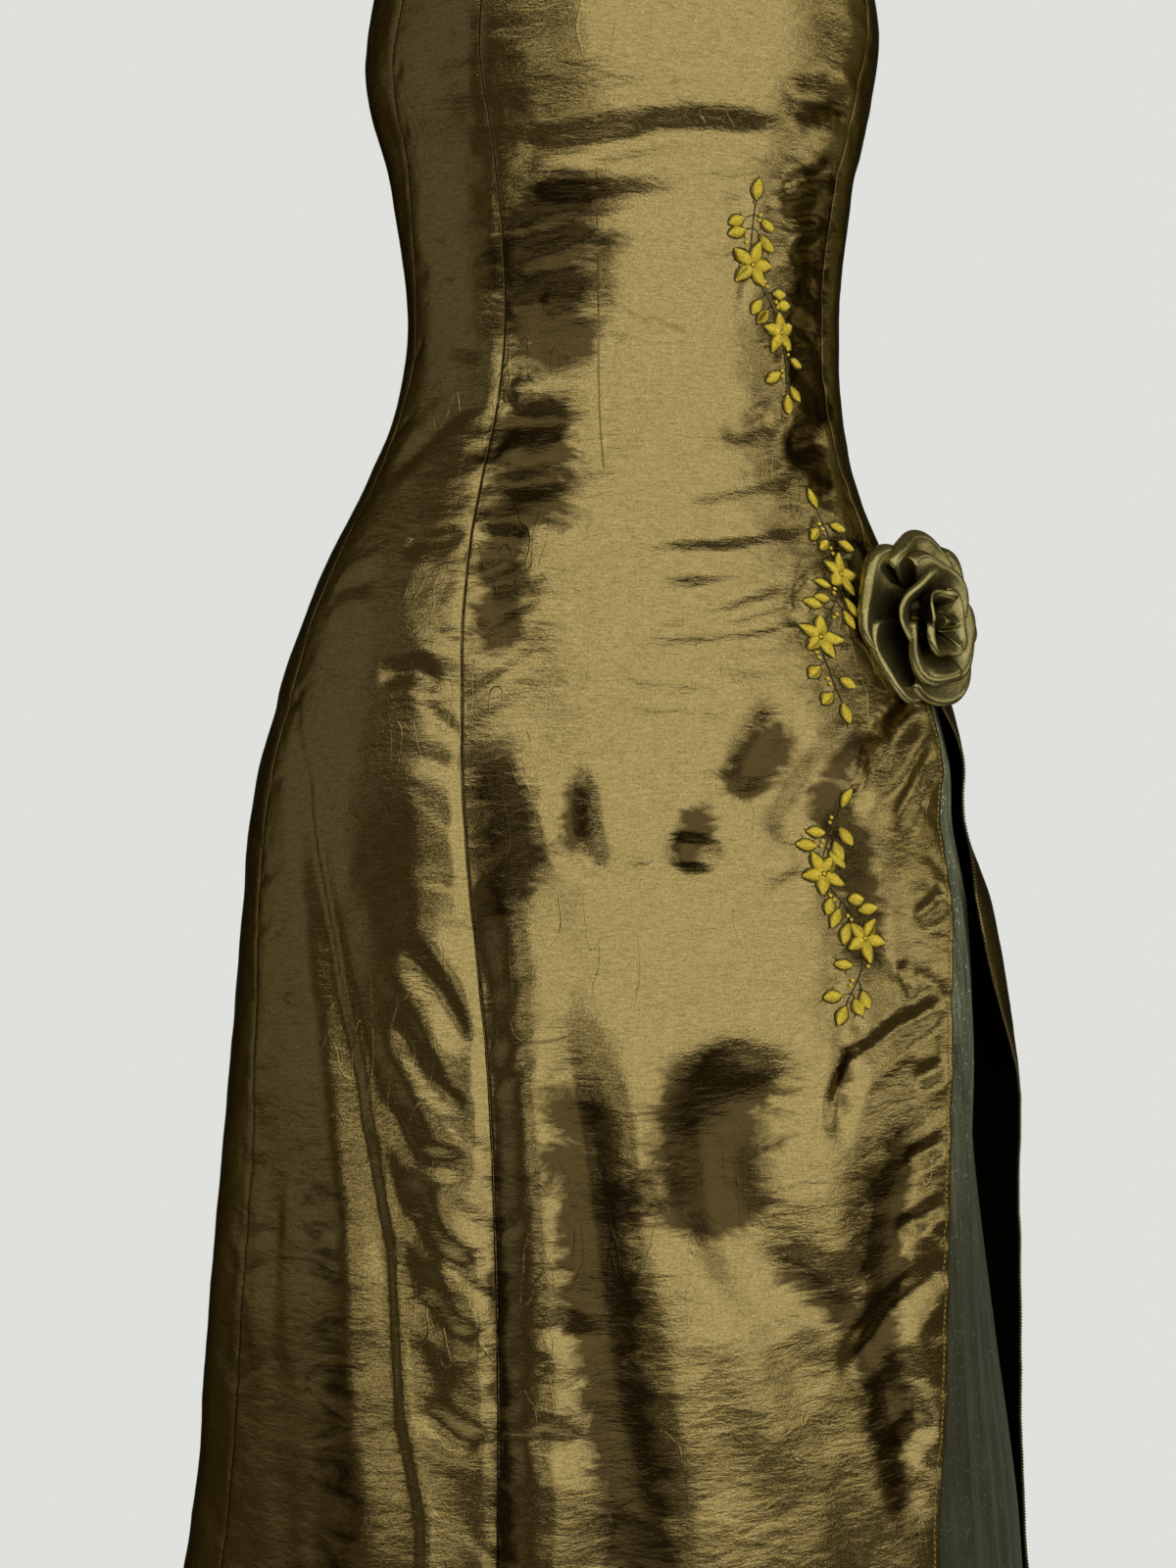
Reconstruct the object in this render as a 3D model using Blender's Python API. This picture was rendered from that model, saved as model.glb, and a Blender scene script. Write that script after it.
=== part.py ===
"""Evening gown in shot taffeta, kept in its worn, hollow form.

A strapless princess-line gown: one front panel between two princess seams, two side fronts,
two backs with a zip between them, a slit in the wearer's left princess seam with a green
underlay hung behind it, and a fabric rose sewn on at the head of the slit.

Metres, +Z up. The front faces -Y, the wearer's right is -X. The origin is the middle of the
hollow at the bust line, where the wearer holds the gown.
"""
import math

import bmesh
import bpy
from mathutils import Matrix, Vector

for old_object in list(bpy.data.objects):
    bpy.data.objects.remove(old_object, do_unlink=True)

# --- Driving dimensions -------------------------------------------------------------------

WALL = 0.0012            # turned and interlined taffeta
SEAM_GAP = 0.0003        # between two pieces that are sewn together
HEM_Z = -1.215           # 1.05 m below the waist
SLIT_HEAD_Z = -0.345
ZIP_FOOT_Z = -0.335
ROWS = 30                # of facets, top edge to hem
ROW_CROWDING = 1.15      # above 1 the rows sit closer in the bodice

# Plan sections of the hollow: half widths to the wearer's right and left, depths to the front
# and the back, all from the middle of the body.
SECTIONS = (
    # z,      right, left,  front, back
    (0.100,  0.138, 0.139, 0.110, 0.085),
    (0.050,  0.143, 0.146, 0.117, 0.090),
    (0.000,  0.151, 0.152, 0.121, 0.093),
    (-0.040, 0.153, 0.146, 0.116, 0.092),
    (-0.090, 0.139, 0.137, 0.104, 0.088),
    (-0.165, 0.129, 0.130, 0.095, 0.083),
    (-0.215, 0.134, 0.132, 0.098, 0.090),
    (-0.260, 0.152, 0.143, 0.106, 0.103),
    (-0.310, 0.176, 0.165, 0.115, 0.118),
    (-0.360, 0.196, 0.194, 0.123, 0.131),
    (-0.420, 0.212, 0.212, 0.132, 0.142),
    (-0.460, 0.219, 0.212, 0.138, 0.147),
    (-0.510, 0.223, 0.230, 0.144, 0.153),
    (-0.600, 0.231, 0.246, 0.154, 0.163),
    (-0.700, 0.239, 0.248, 0.164, 0.174),
    (-0.800, 0.247, 0.248, 0.174, 0.185),
    (-0.900, 0.258, 0.252, 0.184, 0.196),
    (-1.050, 0.273, 0.261, 0.197, 0.209),
    (-1.215, 0.287, 0.271, 0.208, 0.220),
)

# Top edge, by plan angle from the front centre: level over the bust, low at the back.
TOP_EDGE = (
    # angle, z
    (0.0,   0.088),
    (22.0,  0.094),
    (42.0,  0.098),
    (60.0,  0.082),
    (76.0,  0.056),
    (90.0,  0.022),
    (104.0, -0.030),
    (120.0, -0.058),
    (145.0, -0.074),
    (180.0, -0.080),
)

# Seams as plan angles, front centre 0, wearer's right negative. Below the slit head the left
# princess seam opens into the front panel's edge and the side front's free edge.
SEAMS = (
    # z,      right side, right princess, front edge, free edge, left side
    (0.100,  -70.0, -45.0, 46.0, 46.0, 84.0),
    (0.000,  -72.0, -46.0, 48.0, 48.0, 86.0),
    (-0.165, -84.0, -46.5, 51.0, 51.0, 90.0),
    (-0.260, -84.0, -45.0, 52.0, 52.0, 92.0),
    (-0.345, -83.5, -41.0, 52.0, 52.0, 93.0),
    (-0.390, -83.0, -38.8, 51.4, 58.0, 94.0),
    (-0.425, -82.5, -37.6, 51.0, 72.0, 96.0),
    (-0.460, -82.0, -36.4, 49.4, 71.0, 98.0),
    (-0.500, -81.0, -35.3, 46.4, 57.0, 99.0),
    (-0.545, -79.5, -33.6, 42.6, 57.5, 100.0),
    (-0.590, -78.5, -32.2, 39.8, 64.0, 102.0),
    (-0.640, -77.5, -31.3, 37.2, 75.0, 106.0),
    (-0.740, -76.5, -30.3, 34.7, 77.0, 108.0),
    (-0.860, -76.0, -30.0, 30.6, 78.0, 109.0),
    (-1.215, -76.0, -30.0, 27.0, 80.0, 110.0),
)

# Long folds of the skirt. Each runs from a head, where it dies out, to the hem. A negative
# depth is a trough, a positive one a ridge; the width is the half width in degrees.
FOLDS = (
    # head z, head angle, hem angle, bend, depth,  width
    (-0.36, -74.0,  -28.0, 14.0,  -0.0075, 5.0),
    (-0.36, -62.0,  -50.0,  2.0,   0.0060, 9.0),
    (-0.58, -24.0,   -4.0,  0.0,  -0.0085, 4.5),
    (-0.56, -10.0,    8.0,  0.0,   0.0050, 6.0),
    (-0.62,  16.0,   20.0,  0.0,  -0.0060, 5.0),
    (-0.42, -92.0,  -90.0,  0.0,   0.0035, 7.0),
    (-0.50, -106.0, -110.0, 0.0,  -0.0100, 7.0),
    (-0.44, -126.0, -132.0, 0.0,   0.0110, 9.0),
    (-0.52, -152.0, -156.0, 0.0,  -0.0110, 8.0),
    (-0.48, -174.0, -176.0, 0.0,   0.0080, 8.0),
    (-0.52, 158.0,  160.0,  0.0,  -0.0105, 8.0),
    (-0.46, 136.0,  138.0,  0.0,   0.0120, 9.0),
    (-0.54, 118.0,  118.0,  0.0,  -0.0090, 6.0),
)

# The right princess seam pulls the skirt in to a valley between two soft rims.
SEAM_VALLEY_DEPTH = 0.0050
SEAM_VALLEY_WIDTH = 3.6
SEAM_VALLEY_HEAD_Z = -0.30

BUST_FULLNESS = 0.007
BUST_ANGLE = 36.0
BUST_SPREAD = 26.0
BUST_RISE = 0.075

# Green underlay behind the slit: how far it hangs inside the outer cloth at its back part.
UNDERLAY_TOP_Z = -0.375
UNDERLAY_HEM_Z = -1.190
UNDERLAY_ANGLES = (22.0, 104.0)
UNDERLAY_FRONT_INSET = 0.0045
UNDERLAY_INSET = (
    # z,      inset
    (-0.370, 0.009),
    (-0.410, 0.012),
    (-0.460, 0.008),
    (-0.520, 0.018),
    (-0.590, 0.026),
    (-0.640, 0.029),
    (-0.700, 0.024),
    (-0.760, 0.017),
    (-0.820, 0.010),
    (-0.880, 0.007),
    (-1.190, 0.009),
)

# --- Shape of the cloth -------------------------------------------------------------------


def smooth_row(rows, key, column):
    """Value of a table's column at a key, on a smooth curve through its rows."""
    rising = rows[0][0] < rows[-1][0]
    table = rows if rising else rows[::-1]
    keys = [row[0] for row in table]
    values = [row[column] for row in table]
    if key <= keys[0]:
        return values[0]
    if key >= keys[-1]:
        return values[-1]
    index = max(i for i in range(len(keys) - 1) if keys[i] <= key)
    slopes = []
    for i in (index, index + 1):
        low = max(i - 1, 0)
        high = min(i + 1, len(keys) - 1)
        slopes.append((values[high] - values[low]) / (keys[high] - keys[low]))
    span = keys[index + 1] - keys[index]
    u = (key - keys[index]) / span
    start = values[index] * (1 + 2 * u) * (1 - u) ** 2
    end = values[index + 1] * u * u * (3 - 2 * u)
    bow = slopes[0] * span * u * (1 - u) ** 2 - slopes[1] * span * u * u * (1 - u)
    return start + end + bow


def ease(value):
    """0 to 1 with a soft start and end."""
    value = min(max(value, 0.0), 1.0)
    return value * value * (3 - 2 * value)


def hump(distance, width):
    return math.exp(-(distance / width) ** 2)


def turn_between(angle, other):
    """Smallest turn between two plan angles, in degrees."""
    return (angle - other + 180.0) % 360.0 - 180.0


RIGHT_SIDE, RIGHT_PRINCESS, FRONT_EDGE, FREE_EDGE, LEFT_SIDE = 1, 2, 3, 4, 5


def seam(column, z):
    """Plan angle of a seam or edge; above the slit head both slit edges are one seam."""
    if column == FREE_EDGE and z > SLIT_HEAD_Z:
        column = FRONT_EDGE
    return smooth_row(SEAMS, z, column)


def fold_height(angle, z):
    """How far the folds lift the cloth off its plain section."""
    height = 0.0
    for head_z, head_angle, hem_angle, bend, depth, width in FOLDS:
        if z >= head_z:
            continue
        drop = (head_z - z) / (head_z - HEM_Z)
        middle = head_angle + (hem_angle - head_angle) * drop + bend * 4 * drop * (1 - drop)
        growth = ease(drop * 2.2) * (0.55 + 0.45 * drop)
        height += depth * growth * hump(turn_between(angle, middle), width)
    valley = ease((SEAM_VALLEY_HEAD_Z - z) / 0.25)
    away = turn_between(angle, seam(RIGHT_PRINCESS, z))
    rims = hump(away - 7.5, 4.0) + hump(away + 7.5, 4.0)
    height += SEAM_VALLEY_DEPTH * valley * (0.6 * rims - hump(away, SEAM_VALLEY_WIDTH))
    return height


def bust_height(angle, z):
    if z < -BUST_RISE * 2 or z > BUST_RISE * 2:
        return 0.0
    side = hump(abs(angle) - BUST_ANGLE, BUST_SPREAD)
    return BUST_FULLNESS * side * hump(z, BUST_RISE)


def plain_point(angle, z):
    right, left, front, back = (smooth_row(SECTIONS, z, column) for column in (1, 2, 3, 4))
    turn = math.radians(angle)
    across = left if math.sin(turn) > 0 else right
    deep = front if math.cos(turn) > 0 else back
    return Vector((across * math.sin(turn), -deep * math.cos(turn), z))


def plan_normal(angle, z):
    step = 0.5
    along = plain_point(angle + step, z) - plain_point(angle - step, z)
    return Vector((along.y, -along.x, 0.0)).normalized()


def cloth_point(angle, z):
    """A point of the gown's outer face."""
    height = fold_height(angle, z) + bust_height(angle, z)
    return plain_point(angle, z) + plan_normal(angle, z) * height


def face_normal(surface, angle, z):
    across = surface(angle + 0.25, z) - surface(angle - 0.25, z)
    down = surface(angle, z - 0.002) - surface(angle, z + 0.002)
    return down.cross(across).normalized()


def top_edge(angle):
    return smooth_row(TOP_EDGE, abs(turn_between(angle, 0.0)), 1)


# --- Solids -------------------------------------------------------------------------------


def material(name, colour, roughness, metallic):
    finish = bpy.data.materials.new(name)
    finish.use_nodes = True
    shader = finish.node_tree.nodes["Principled BSDF"]
    shader.inputs["Base Color"].default_value = (*colour, 1.0)
    shader.inputs["Roughness"].default_value = roughness
    shader.inputs["Metallic"].default_value = metallic
    finish.diffuse_color = (*colour, 1.0)
    return finish


def add_object(name, form, finish):
    """Make a named object of a closed bmesh, shaded smooth where it is round."""
    bmesh.ops.recalc_face_normals(form, faces=form.faces)
    mesh = bpy.data.meshes.new(name)
    form.to_mesh(mesh)
    form.free()
    mesh.materials.append(finish)
    mesh.shade_smooth()
    mesh.set_sharp_from_angle(angle=math.radians(50))
    made = bpy.data.objects.new(name, mesh)
    bpy.context.scene.collection.objects.link(made)
    return made


def wall_form(outer, inner):
    """Closed wall between two equal grids of points, each a list of rows."""
    form = bmesh.new()
    faces = []
    for grid in (outer, inner):
        faces.append([[form.verts.new(point) for point in row] for row in grid])
    rows = len(outer)
    columns = len(outer[0])
    for grid in faces:
        for j in range(rows - 1):
            for i in range(columns - 1):
                form.faces.new((grid[j][i], grid[j][i + 1], grid[j + 1][i + 1], grid[j + 1][i]))
    outside, inside = faces
    rim = [(0, i) for i in range(columns)]
    rim += [(j, columns - 1) for j in range(1, rows)]
    rim += [(rows - 1, i) for i in range(columns - 2, -1, -1)]
    rim += [(j, 0) for j in range(rows - 2, 0, -1)]
    for (j, i), (next_j, next_i) in zip(rim, rim[1:] + rim[:1]):
        form.faces.new((outside[j][i], outside[next_j][next_i],
                        inside[next_j][next_i], inside[j][i]))
    return form


def panel(name, start, end, columns, finish):
    """One panel of the gown, between two boundaries given as functions of z."""
    outer = []
    inner = []
    for j in range(ROWS + 1):
        fall = (j / ROWS) ** ROW_CROWDING
        outer_row = []
        inner_row = []
        for i in range(columns + 1):
            share = i / columns
            angle = start(0.0) + (end(0.0) - start(0.0)) * share
            for _ in range(4):
                z = top_edge(angle) + (HEM_Z - top_edge(angle)) * fall
                angle = start(z) + (end(z) - start(z)) * share
            point = cloth_point(angle, z)
            outer_row.append(point)
            inner_row.append(point - face_normal(cloth_point, angle, z) * WALL)
        outer.append(outer_row)
        inner.append(inner_row)
    return add_object(name, wall_form(outer, inner), finish)


def beside(column, side):
    """A seam's angle moved by half the gap to one side of it, -1 or 1."""
    def boundary(z):
        angle = seam(column, z)
        reach = math.hypot(*plain_point(angle, z).xy)
        return angle + side * math.degrees(0.62 * SEAM_GAP / reach)
    return boundary


def back_centre(side):
    """Centre-back seam on the wearer's left (1) or right (-1)."""
    def boundary(z):
        reach = smooth_row(SECTIONS, z, 4)
        return side * (180.0 - math.degrees(0.62 * SEAM_GAP / reach))
    return boundary


TAFFETA = material("bronze_taffeta", (0.22, 0.15, 0.055), 0.35, 0.6)
SIDE_TAFFETA = material("bronze_taffeta_side", (0.15, 0.11, 0.045), 0.35, 0.6)
BACK_TAFFETA = material("bronze_taffeta_back", (0.12, 0.09, 0.04), 0.35, 0.6)
GREEN_CLOTH = material("green_underlay", (0.06, 0.08, 0.06), 0.4, 0.3)
ROSE_SATIN = material("sage_satin", (0.25, 0.24, 0.13), 0.35, 0.3)
ZIP_METAL = material("bronzed_zinc", (0.10, 0.08, 0.04), 0.35, 1.0)

panel("front_centre", beside(RIGHT_PRINCESS, 1), beside(FRONT_EDGE, -1), 15, TAFFETA)
panel("side_front_right", beside(RIGHT_SIDE, 1), beside(RIGHT_PRINCESS, -1), 9, SIDE_TAFFETA)
panel("side_front_left", beside(FREE_EDGE, 1), beside(LEFT_SIDE, -1), 5, SIDE_TAFFETA)
panel("back_right", back_centre(-1), beside(RIGHT_SIDE, -1), 11, BACK_TAFFETA)
panel("back_left", beside(LEFT_SIDE, 1), back_centre(1), 9, BACK_TAFFETA)

# --- Underlay -----------------------------------------------------------------------------


def underlay_point(angle, z):
    """The underlay hangs close behind the front panel and swings inwards behind the slit."""
    swing = ease((angle - seam(FRONT_EDGE, z)) / 30.0)
    deep = smooth_row(UNDERLAY_INSET, z, 1)
    inset = UNDERLAY_FRONT_INSET + (deep - UNDERLAY_FRONT_INSET) * swing
    height = min(fold_height(angle, z), 0.0)
    return plain_point(angle, z) + plan_normal(angle, z) * (height - inset)


def underlay():
    rows = 20
    columns = 8
    first, last = UNDERLAY_ANGLES
    outer = []
    inner = []
    for j in range(rows + 1):
        z = UNDERLAY_TOP_Z + (UNDERLAY_HEM_Z - UNDERLAY_TOP_Z) * j / rows
        outer_row = []
        inner_row = []
        for i in range(columns + 1):
            angle = first + (last - first) * i / columns
            point = underlay_point(angle, z)
            outer_row.append(point)
            inner_row.append(point - face_normal(underlay_point, angle, z) * WALL)
        outer.append(outer_row)
        inner.append(inner_row)
    return add_object("slit_underlay", wall_form(outer, inner), GREEN_CLOTH)


underlay()

# --- Rose ---------------------------------------------------------------------------------

ROSE_Z = -0.340
ROSE_STAND_OFF = 0.0060
ROSE_AZIMUTH = 30.0       # of its axis, from straight ahead towards the wearer's left
ROSE_TILT = 4.0
PETAL_WALL = 0.0012

# Rings of petals. A petal's edge runs under its neighbour's, because each one leaves the base
# a little further out on one side than on the other.
PETAL_RINGS = (
    # name, count, first angle, span, base radius, rim radius, base height, rim height, lap
    ("outer", 5, 20.0, 96.0, 0.0155, 0.0490, 0.0036, 0.0170, 0.0062),
    ("middle", 4, 65.0, 112.0, 0.0084, 0.0345, 0.0042, 0.0290, 0.0050),
    ("inner", 3, 10.0, 140.0, 0.0042, 0.0200, 0.0048, 0.0360, 0.0022),
)


def rose_frame():
    """Matrix that stands the rose's own axis, +Z, on the cloth at the head of the slit."""
    angle = seam(FRONT_EDGE, ROSE_Z)
    normal = face_normal(cloth_point, angle, ROSE_Z)
    foot = cloth_point(angle, ROSE_Z) + normal * ROSE_STAND_OFF
    turn = math.radians(ROSE_AZIMUTH)
    tilt = math.radians(ROSE_TILT)
    axis = Vector((math.sin(turn) * math.cos(tilt), -math.cos(turn) * math.cos(tilt),
                   math.sin(tilt)))
    across = Vector((math.cos(turn), math.sin(turn), 0.0))
    upward = axis.cross(across)
    placed = Matrix((across, upward, axis)).transposed().to_4x4()
    placed.translation = foot
    return placed


def petal_point(ring, share, rise, offset):
    """A point of a petal: share runs across it from -1 to 1, rise from foot to rim."""
    base_r, rim_r, base_h, rim_h, lap = ring[4:]
    rise = rise * (1 - 0.16 * abs(share) ** 3)
    under = lap * (share * 0.5 + 0.5)
    radius = base_r + (rim_r - base_r) * rise + under
    height = base_h + (rim_h - base_h) * (1 - (1 - rise) ** 1.8) - 0.6 * under * rise
    slope = math.atan2((rim_h - base_h) * 1.8 * (1 - rise) ** 0.8, rim_r - base_r)
    radius -= offset * math.sin(slope)
    height += offset * math.cos(slope)
    return radius, height


def petal(ring, number, placed):
    name, count, first, span = ring[:4]
    rows = 5
    columns = 6
    middle = first + number * 360.0 / count
    grids = []
    for offset in (0.0, PETAL_WALL):
        grid = []
        for j in range(rows + 1):
            row = []
            for i in range(columns + 1):
                share = 2 * i / columns - 1
                radius, height = petal_point(ring, share, j / rows, offset)
                narrow = 0.72 + 0.28 * ease(2 * j / rows)
                angle = math.radians(middle + share * span / 2 * narrow)
                row.append(Vector((radius * math.cos(angle), radius * math.sin(angle), height)))
            grid.append(row)
        grids.append(grid)
    form = wall_form(*grids)
    bmesh.ops.transform(form, matrix=placed, verts=form.verts)
    add_object(f"rose_{name}_petal_{number + 1}", form, ROSE_SATIN)


def turned(name, profile, placed, finish, sides=14):
    """Solid turned on the rose's axis from a profile of (radius, height) pairs."""
    form = bmesh.new()
    rings = []
    for radius, height in profile:
        ring = []
        for i in range(sides):
            angle = 2 * math.pi * i / sides
            ring.append(form.verts.new((radius * math.cos(angle), radius * math.sin(angle),
                                        height)))
        rings.append(ring)
    for low, high in zip(rings, rings[1:]):
        for i in range(sides):
            k = (i + 1) % sides
            form.faces.new((low[i], low[k], high[k], high[i]))
    form.faces.new(rings[0][::-1])
    form.faces.new(rings[-1])
    bmesh.ops.transform(form, matrix=placed, verts=form.verts)
    return add_object(name, form, finish)


rose_place = rose_frame()
turned("rose_base", ((0.010, -0.0020), (0.012, 0.0), (0.012, 0.0026)), rose_place, ROSE_SATIN)
turned("rose_bud", ((0.0022, 0.0034), (0.0030, 0.012), (0.0060, 0.028), (0.0066, 0.036),
                    (0.0040, 0.0385)), rose_place, ROSE_SATIN)
for petal_ring in PETAL_RINGS:
    for petal_number in range(petal_ring[1]):
        petal(petal_ring, petal_number, rose_place)

# --- Zip ----------------------------------------------------------------------------------

# An invisible zip in the centre-back seam: tape behind the seam, slider run up to the top edge.
TAPE_WIDTH = 0.022
TAPE_WALL = 0.0010
TAPE_GAP = 0.0014
SLIDER_WIDTH = 0.0060
SLIDER_LENGTH = 0.0090
SLIDER_WALL = 0.0016
SLIDER_TOP_GAP = 0.0040    # below the top edge
LUG_WALL = 0.0009
LUG_LENGTH = 0.0018
HINGE_HEIGHT = 0.0024      # of the hinge bar's axis above the slider plate
BAR_RADIUS = 0.00045
EYE_OUTER_RADIUS = 0.0015
EYE_BORE_RADIUS = 0.00075
EYE_WIDTH = 0.0028
TAB_WALL = 0.0010
TAB_WIDTH = 0.0050
TAB_LENGTH = 0.0220


def zip_tape():
    rows = 10
    columns = 4
    top = top_edge(180.0) - SLIDER_TOP_GAP
    outer = []
    inner = []
    for j in range(rows + 1):
        z = top + (ZIP_FOOT_Z - top) * j / rows
        half_turn = math.degrees(TAPE_WIDTH / 2 / smooth_row(SECTIONS, z, 1))
        outer_row = []
        inner_row = []
        for i in range(columns + 1):
            angle = 180.0 + half_turn * (2 * i / columns - 1)
            point = cloth_point(angle, z)
            normal = face_normal(cloth_point, angle, z)
            outer_row.append(point - normal * (WALL + TAPE_GAP))
            inner_row.append(point - normal * (WALL + TAPE_GAP + TAPE_WALL))
        outer.append(outer_row)
        inner.append(inner_row)
    return add_object("zip_tape", wall_form(outer, inner), BACK_TAFFETA)


def box(name, size, centre, finish):
    form = bmesh.new()
    bmesh.ops.create_cube(form, size=1.0)
    bmesh.ops.scale(form, vec=size, verts=form.verts)
    bmesh.ops.translate(form, vec=centre, verts=form.verts)
    return add_object(name, form, finish)


def bar(name, radius, length, centre, finish, sides):
    """Round bar along X."""
    form = bmesh.new()
    bmesh.ops.create_cone(form, cap_ends=True, segments=sides, radius1=radius, radius2=radius,
                          depth=length)
    bmesh.ops.rotate(form, matrix=Matrix.Rotation(math.pi / 2, 3, "Y"), verts=form.verts)
    bmesh.ops.translate(form, vec=centre, verts=form.verts)
    return add_object(name, form, finish)


def combine(base, tool, operation):
    """Boolean on the base; the tool stays as a hidden guide."""
    step = base.modifiers.new(tool.name, "BOOLEAN")
    step.operation = operation
    step.solver = "EXACT"
    step.object = tool
    tool.hide_render = True
    tool.display_type = "WIRE"


SLIDER_TOP_Z = top_edge(180.0) - SLIDER_TOP_GAP
PLATE_BACK_Y = cloth_point(180.0, SLIDER_TOP_Z).y + 2 * SEAM_GAP
PLATE_FACE_Y = PLATE_BACK_Y + SLIDER_WALL
HINGE = Vector((0.0, PLATE_FACE_Y + HINGE_HEIGHT, SLIDER_TOP_Z - 0.35 * SLIDER_LENGTH))


def zip_slider():
    middle_z = SLIDER_TOP_Z - SLIDER_LENGTH / 2
    slider = box("zip_slider", (SLIDER_WIDTH, SLIDER_WALL, SLIDER_LENGTH),
                 (0.0, PLATE_BACK_Y + SLIDER_WALL / 2, middle_z), ZIP_METAL)
    lug_height = HINGE_HEIGHT + LUG_WALL
    lug_x = SLIDER_WIDTH / 2 - LUG_WALL / 2 - 0.0001
    for side in (-1, 1):
        sunk = PLATE_FACE_Y + lug_height / 2 - SLIDER_WALL / 4
        lug = box(f"cut_lug_{side + 1}", (LUG_WALL, lug_height + SLIDER_WALL / 2, LUG_LENGTH),
                  (side * lug_x, sunk, HINGE.z), ZIP_METAL)
        combine(slider, lug, "UNION")
    pin = bar("cut_hinge_bar", BAR_RADIUS, 2 * lug_x, HINGE, ZIP_METAL, 10)
    combine(slider, pin, "UNION")
    return slider


def zip_pull_tab():
    """Drop-shaped tab whose eye goes round the slider's bar; its origin is the hinge axis."""
    eye_edge = math.sqrt(EYE_OUTER_RADIUS ** 2 - (TAB_WALL / 2) ** 2) - 0.0002
    outline = (
        # half width, distance below the hinge
        (EYE_WIDTH / 2, eye_edge),
        (EYE_WIDTH / 2, 0.0035),
        (0.40 * TAB_WIDTH, 0.0060),
        (0.36 * TAB_WIDTH, 0.0120),
        (0.50 * TAB_WIDTH, 0.0180),
        (0.36 * TAB_WIDTH, 0.0210),
        (0.12 * TAB_WIDTH, TAB_LENGTH),
    )
    loop = [(-x, -fall) for x, fall in outline] + [(x, -fall) for x, fall in outline[::-1]]
    form = bmesh.new()
    near, far = ([form.verts.new((x, y, z)) for x, z in loop]
                 for y in (-TAB_WALL / 2, TAB_WALL / 2))
    form.faces.new(near)
    form.faces.new(far[::-1])
    for i in range(len(loop)):
        k = (i + 1) % len(loop)
        form.faces.new((near[i], near[k], far[k], far[i]))
    tab = add_object("zip_pull_tab", form, ZIP_METAL)
    eye = bar("cut_eye", EYE_OUTER_RADIUS, EYE_WIDTH, (0.0, 0.0, 0.0), ZIP_METAL, 16)
    bore = bar("cut_eye_bore", EYE_BORE_RADIUS, 2 * EYE_WIDTH, (0.0, 0.0, 0.0), ZIP_METAL, 12)
    combine(tab, eye, "UNION")
    combine(tab, bore, "DIFFERENCE")
    for piece in (tab, eye, bore):
        piece.location = HINGE
    return tab


zip_tape()
zip_slider()
zip_pull_tab()
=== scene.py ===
import math
import random

import bmesh
import bpy
import numpy as np
from mathutils import Matrix, Vector, noise


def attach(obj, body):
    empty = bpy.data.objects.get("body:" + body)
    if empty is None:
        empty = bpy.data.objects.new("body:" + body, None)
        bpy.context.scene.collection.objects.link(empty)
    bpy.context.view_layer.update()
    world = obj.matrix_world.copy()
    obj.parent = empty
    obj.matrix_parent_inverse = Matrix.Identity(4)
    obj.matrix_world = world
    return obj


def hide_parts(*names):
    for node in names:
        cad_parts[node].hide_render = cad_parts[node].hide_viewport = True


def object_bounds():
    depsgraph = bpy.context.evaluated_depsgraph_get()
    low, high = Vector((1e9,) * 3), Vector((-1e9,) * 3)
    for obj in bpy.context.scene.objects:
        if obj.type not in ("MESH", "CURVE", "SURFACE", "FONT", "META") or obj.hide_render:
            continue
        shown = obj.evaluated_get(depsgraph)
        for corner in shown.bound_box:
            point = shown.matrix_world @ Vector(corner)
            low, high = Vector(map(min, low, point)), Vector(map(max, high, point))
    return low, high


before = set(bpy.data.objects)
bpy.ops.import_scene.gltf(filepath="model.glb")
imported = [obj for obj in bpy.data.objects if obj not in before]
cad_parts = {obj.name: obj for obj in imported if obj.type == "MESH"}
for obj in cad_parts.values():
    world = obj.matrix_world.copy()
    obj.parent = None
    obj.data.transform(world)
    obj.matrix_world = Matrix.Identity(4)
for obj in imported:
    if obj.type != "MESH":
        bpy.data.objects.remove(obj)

cad_low, cad_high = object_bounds()

# --- Camera, floor and light ----------------------------------------------------------------
# A plain studio. The camera stands at hip height, turned 20 degrees to the wearer's right,
# and takes in the gown from bust to shin. The floor is just under the hem.

CAMERA_TURN = math.radians(-20.0)
CAMERA_DISTANCE = 1.5
CAMERA_Z = -0.435
FRAME_HEIGHT = 0.920            # of cloth that the frame takes in, at the gown's middle
AIM_ASIDE = 0.0207              # the gown stands a little right of the frame's middle
FLOOR_RADIUS = 1.1
FLOOR_GAP = 0.02                # between the hem and the floor

forward = Vector((-math.sin(CAMERA_TURN), math.cos(CAMERA_TURN), 0.0))
aside = Vector((math.cos(CAMERA_TURN), math.sin(CAMERA_TURN), 0.0))
camera_data = bpy.data.cameras.new("camera")
camera_data.sensor_fit = "VERTICAL"
camera_data.sensor_height = 24.0
camera_data.lens = 24.0 * CAMERA_DISTANCE / FRAME_HEIGHT
camera = bpy.data.objects.new("camera", camera_data)
bpy.context.collection.objects.link(camera)
camera.location = forward * -CAMERA_DISTANCE + Vector((0.0, 0.0, CAMERA_Z))
aim = aside * -AIM_ASIDE + Vector((0.0, 0.0, CAMERA_Z))
camera.rotation_euler = (aim - camera.location).to_track_quat("-Z", "Y").to_euler()
bpy.context.scene.camera = camera
bpy.context.scene.view_settings.view_transform = "Standard"


def srgb(hex_colour):
    """An sRGB hex colour as linear red, green, blue, alpha."""
    channels = [int(hex_colour[i:i + 2], 16) / 255 for i in (1, 3, 5)]
    return tuple(c / 12.92 if c <= 0.04045 else ((c + 0.055) / 1.055) ** 2.4
                 for c in channels) + (1.0,)


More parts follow.
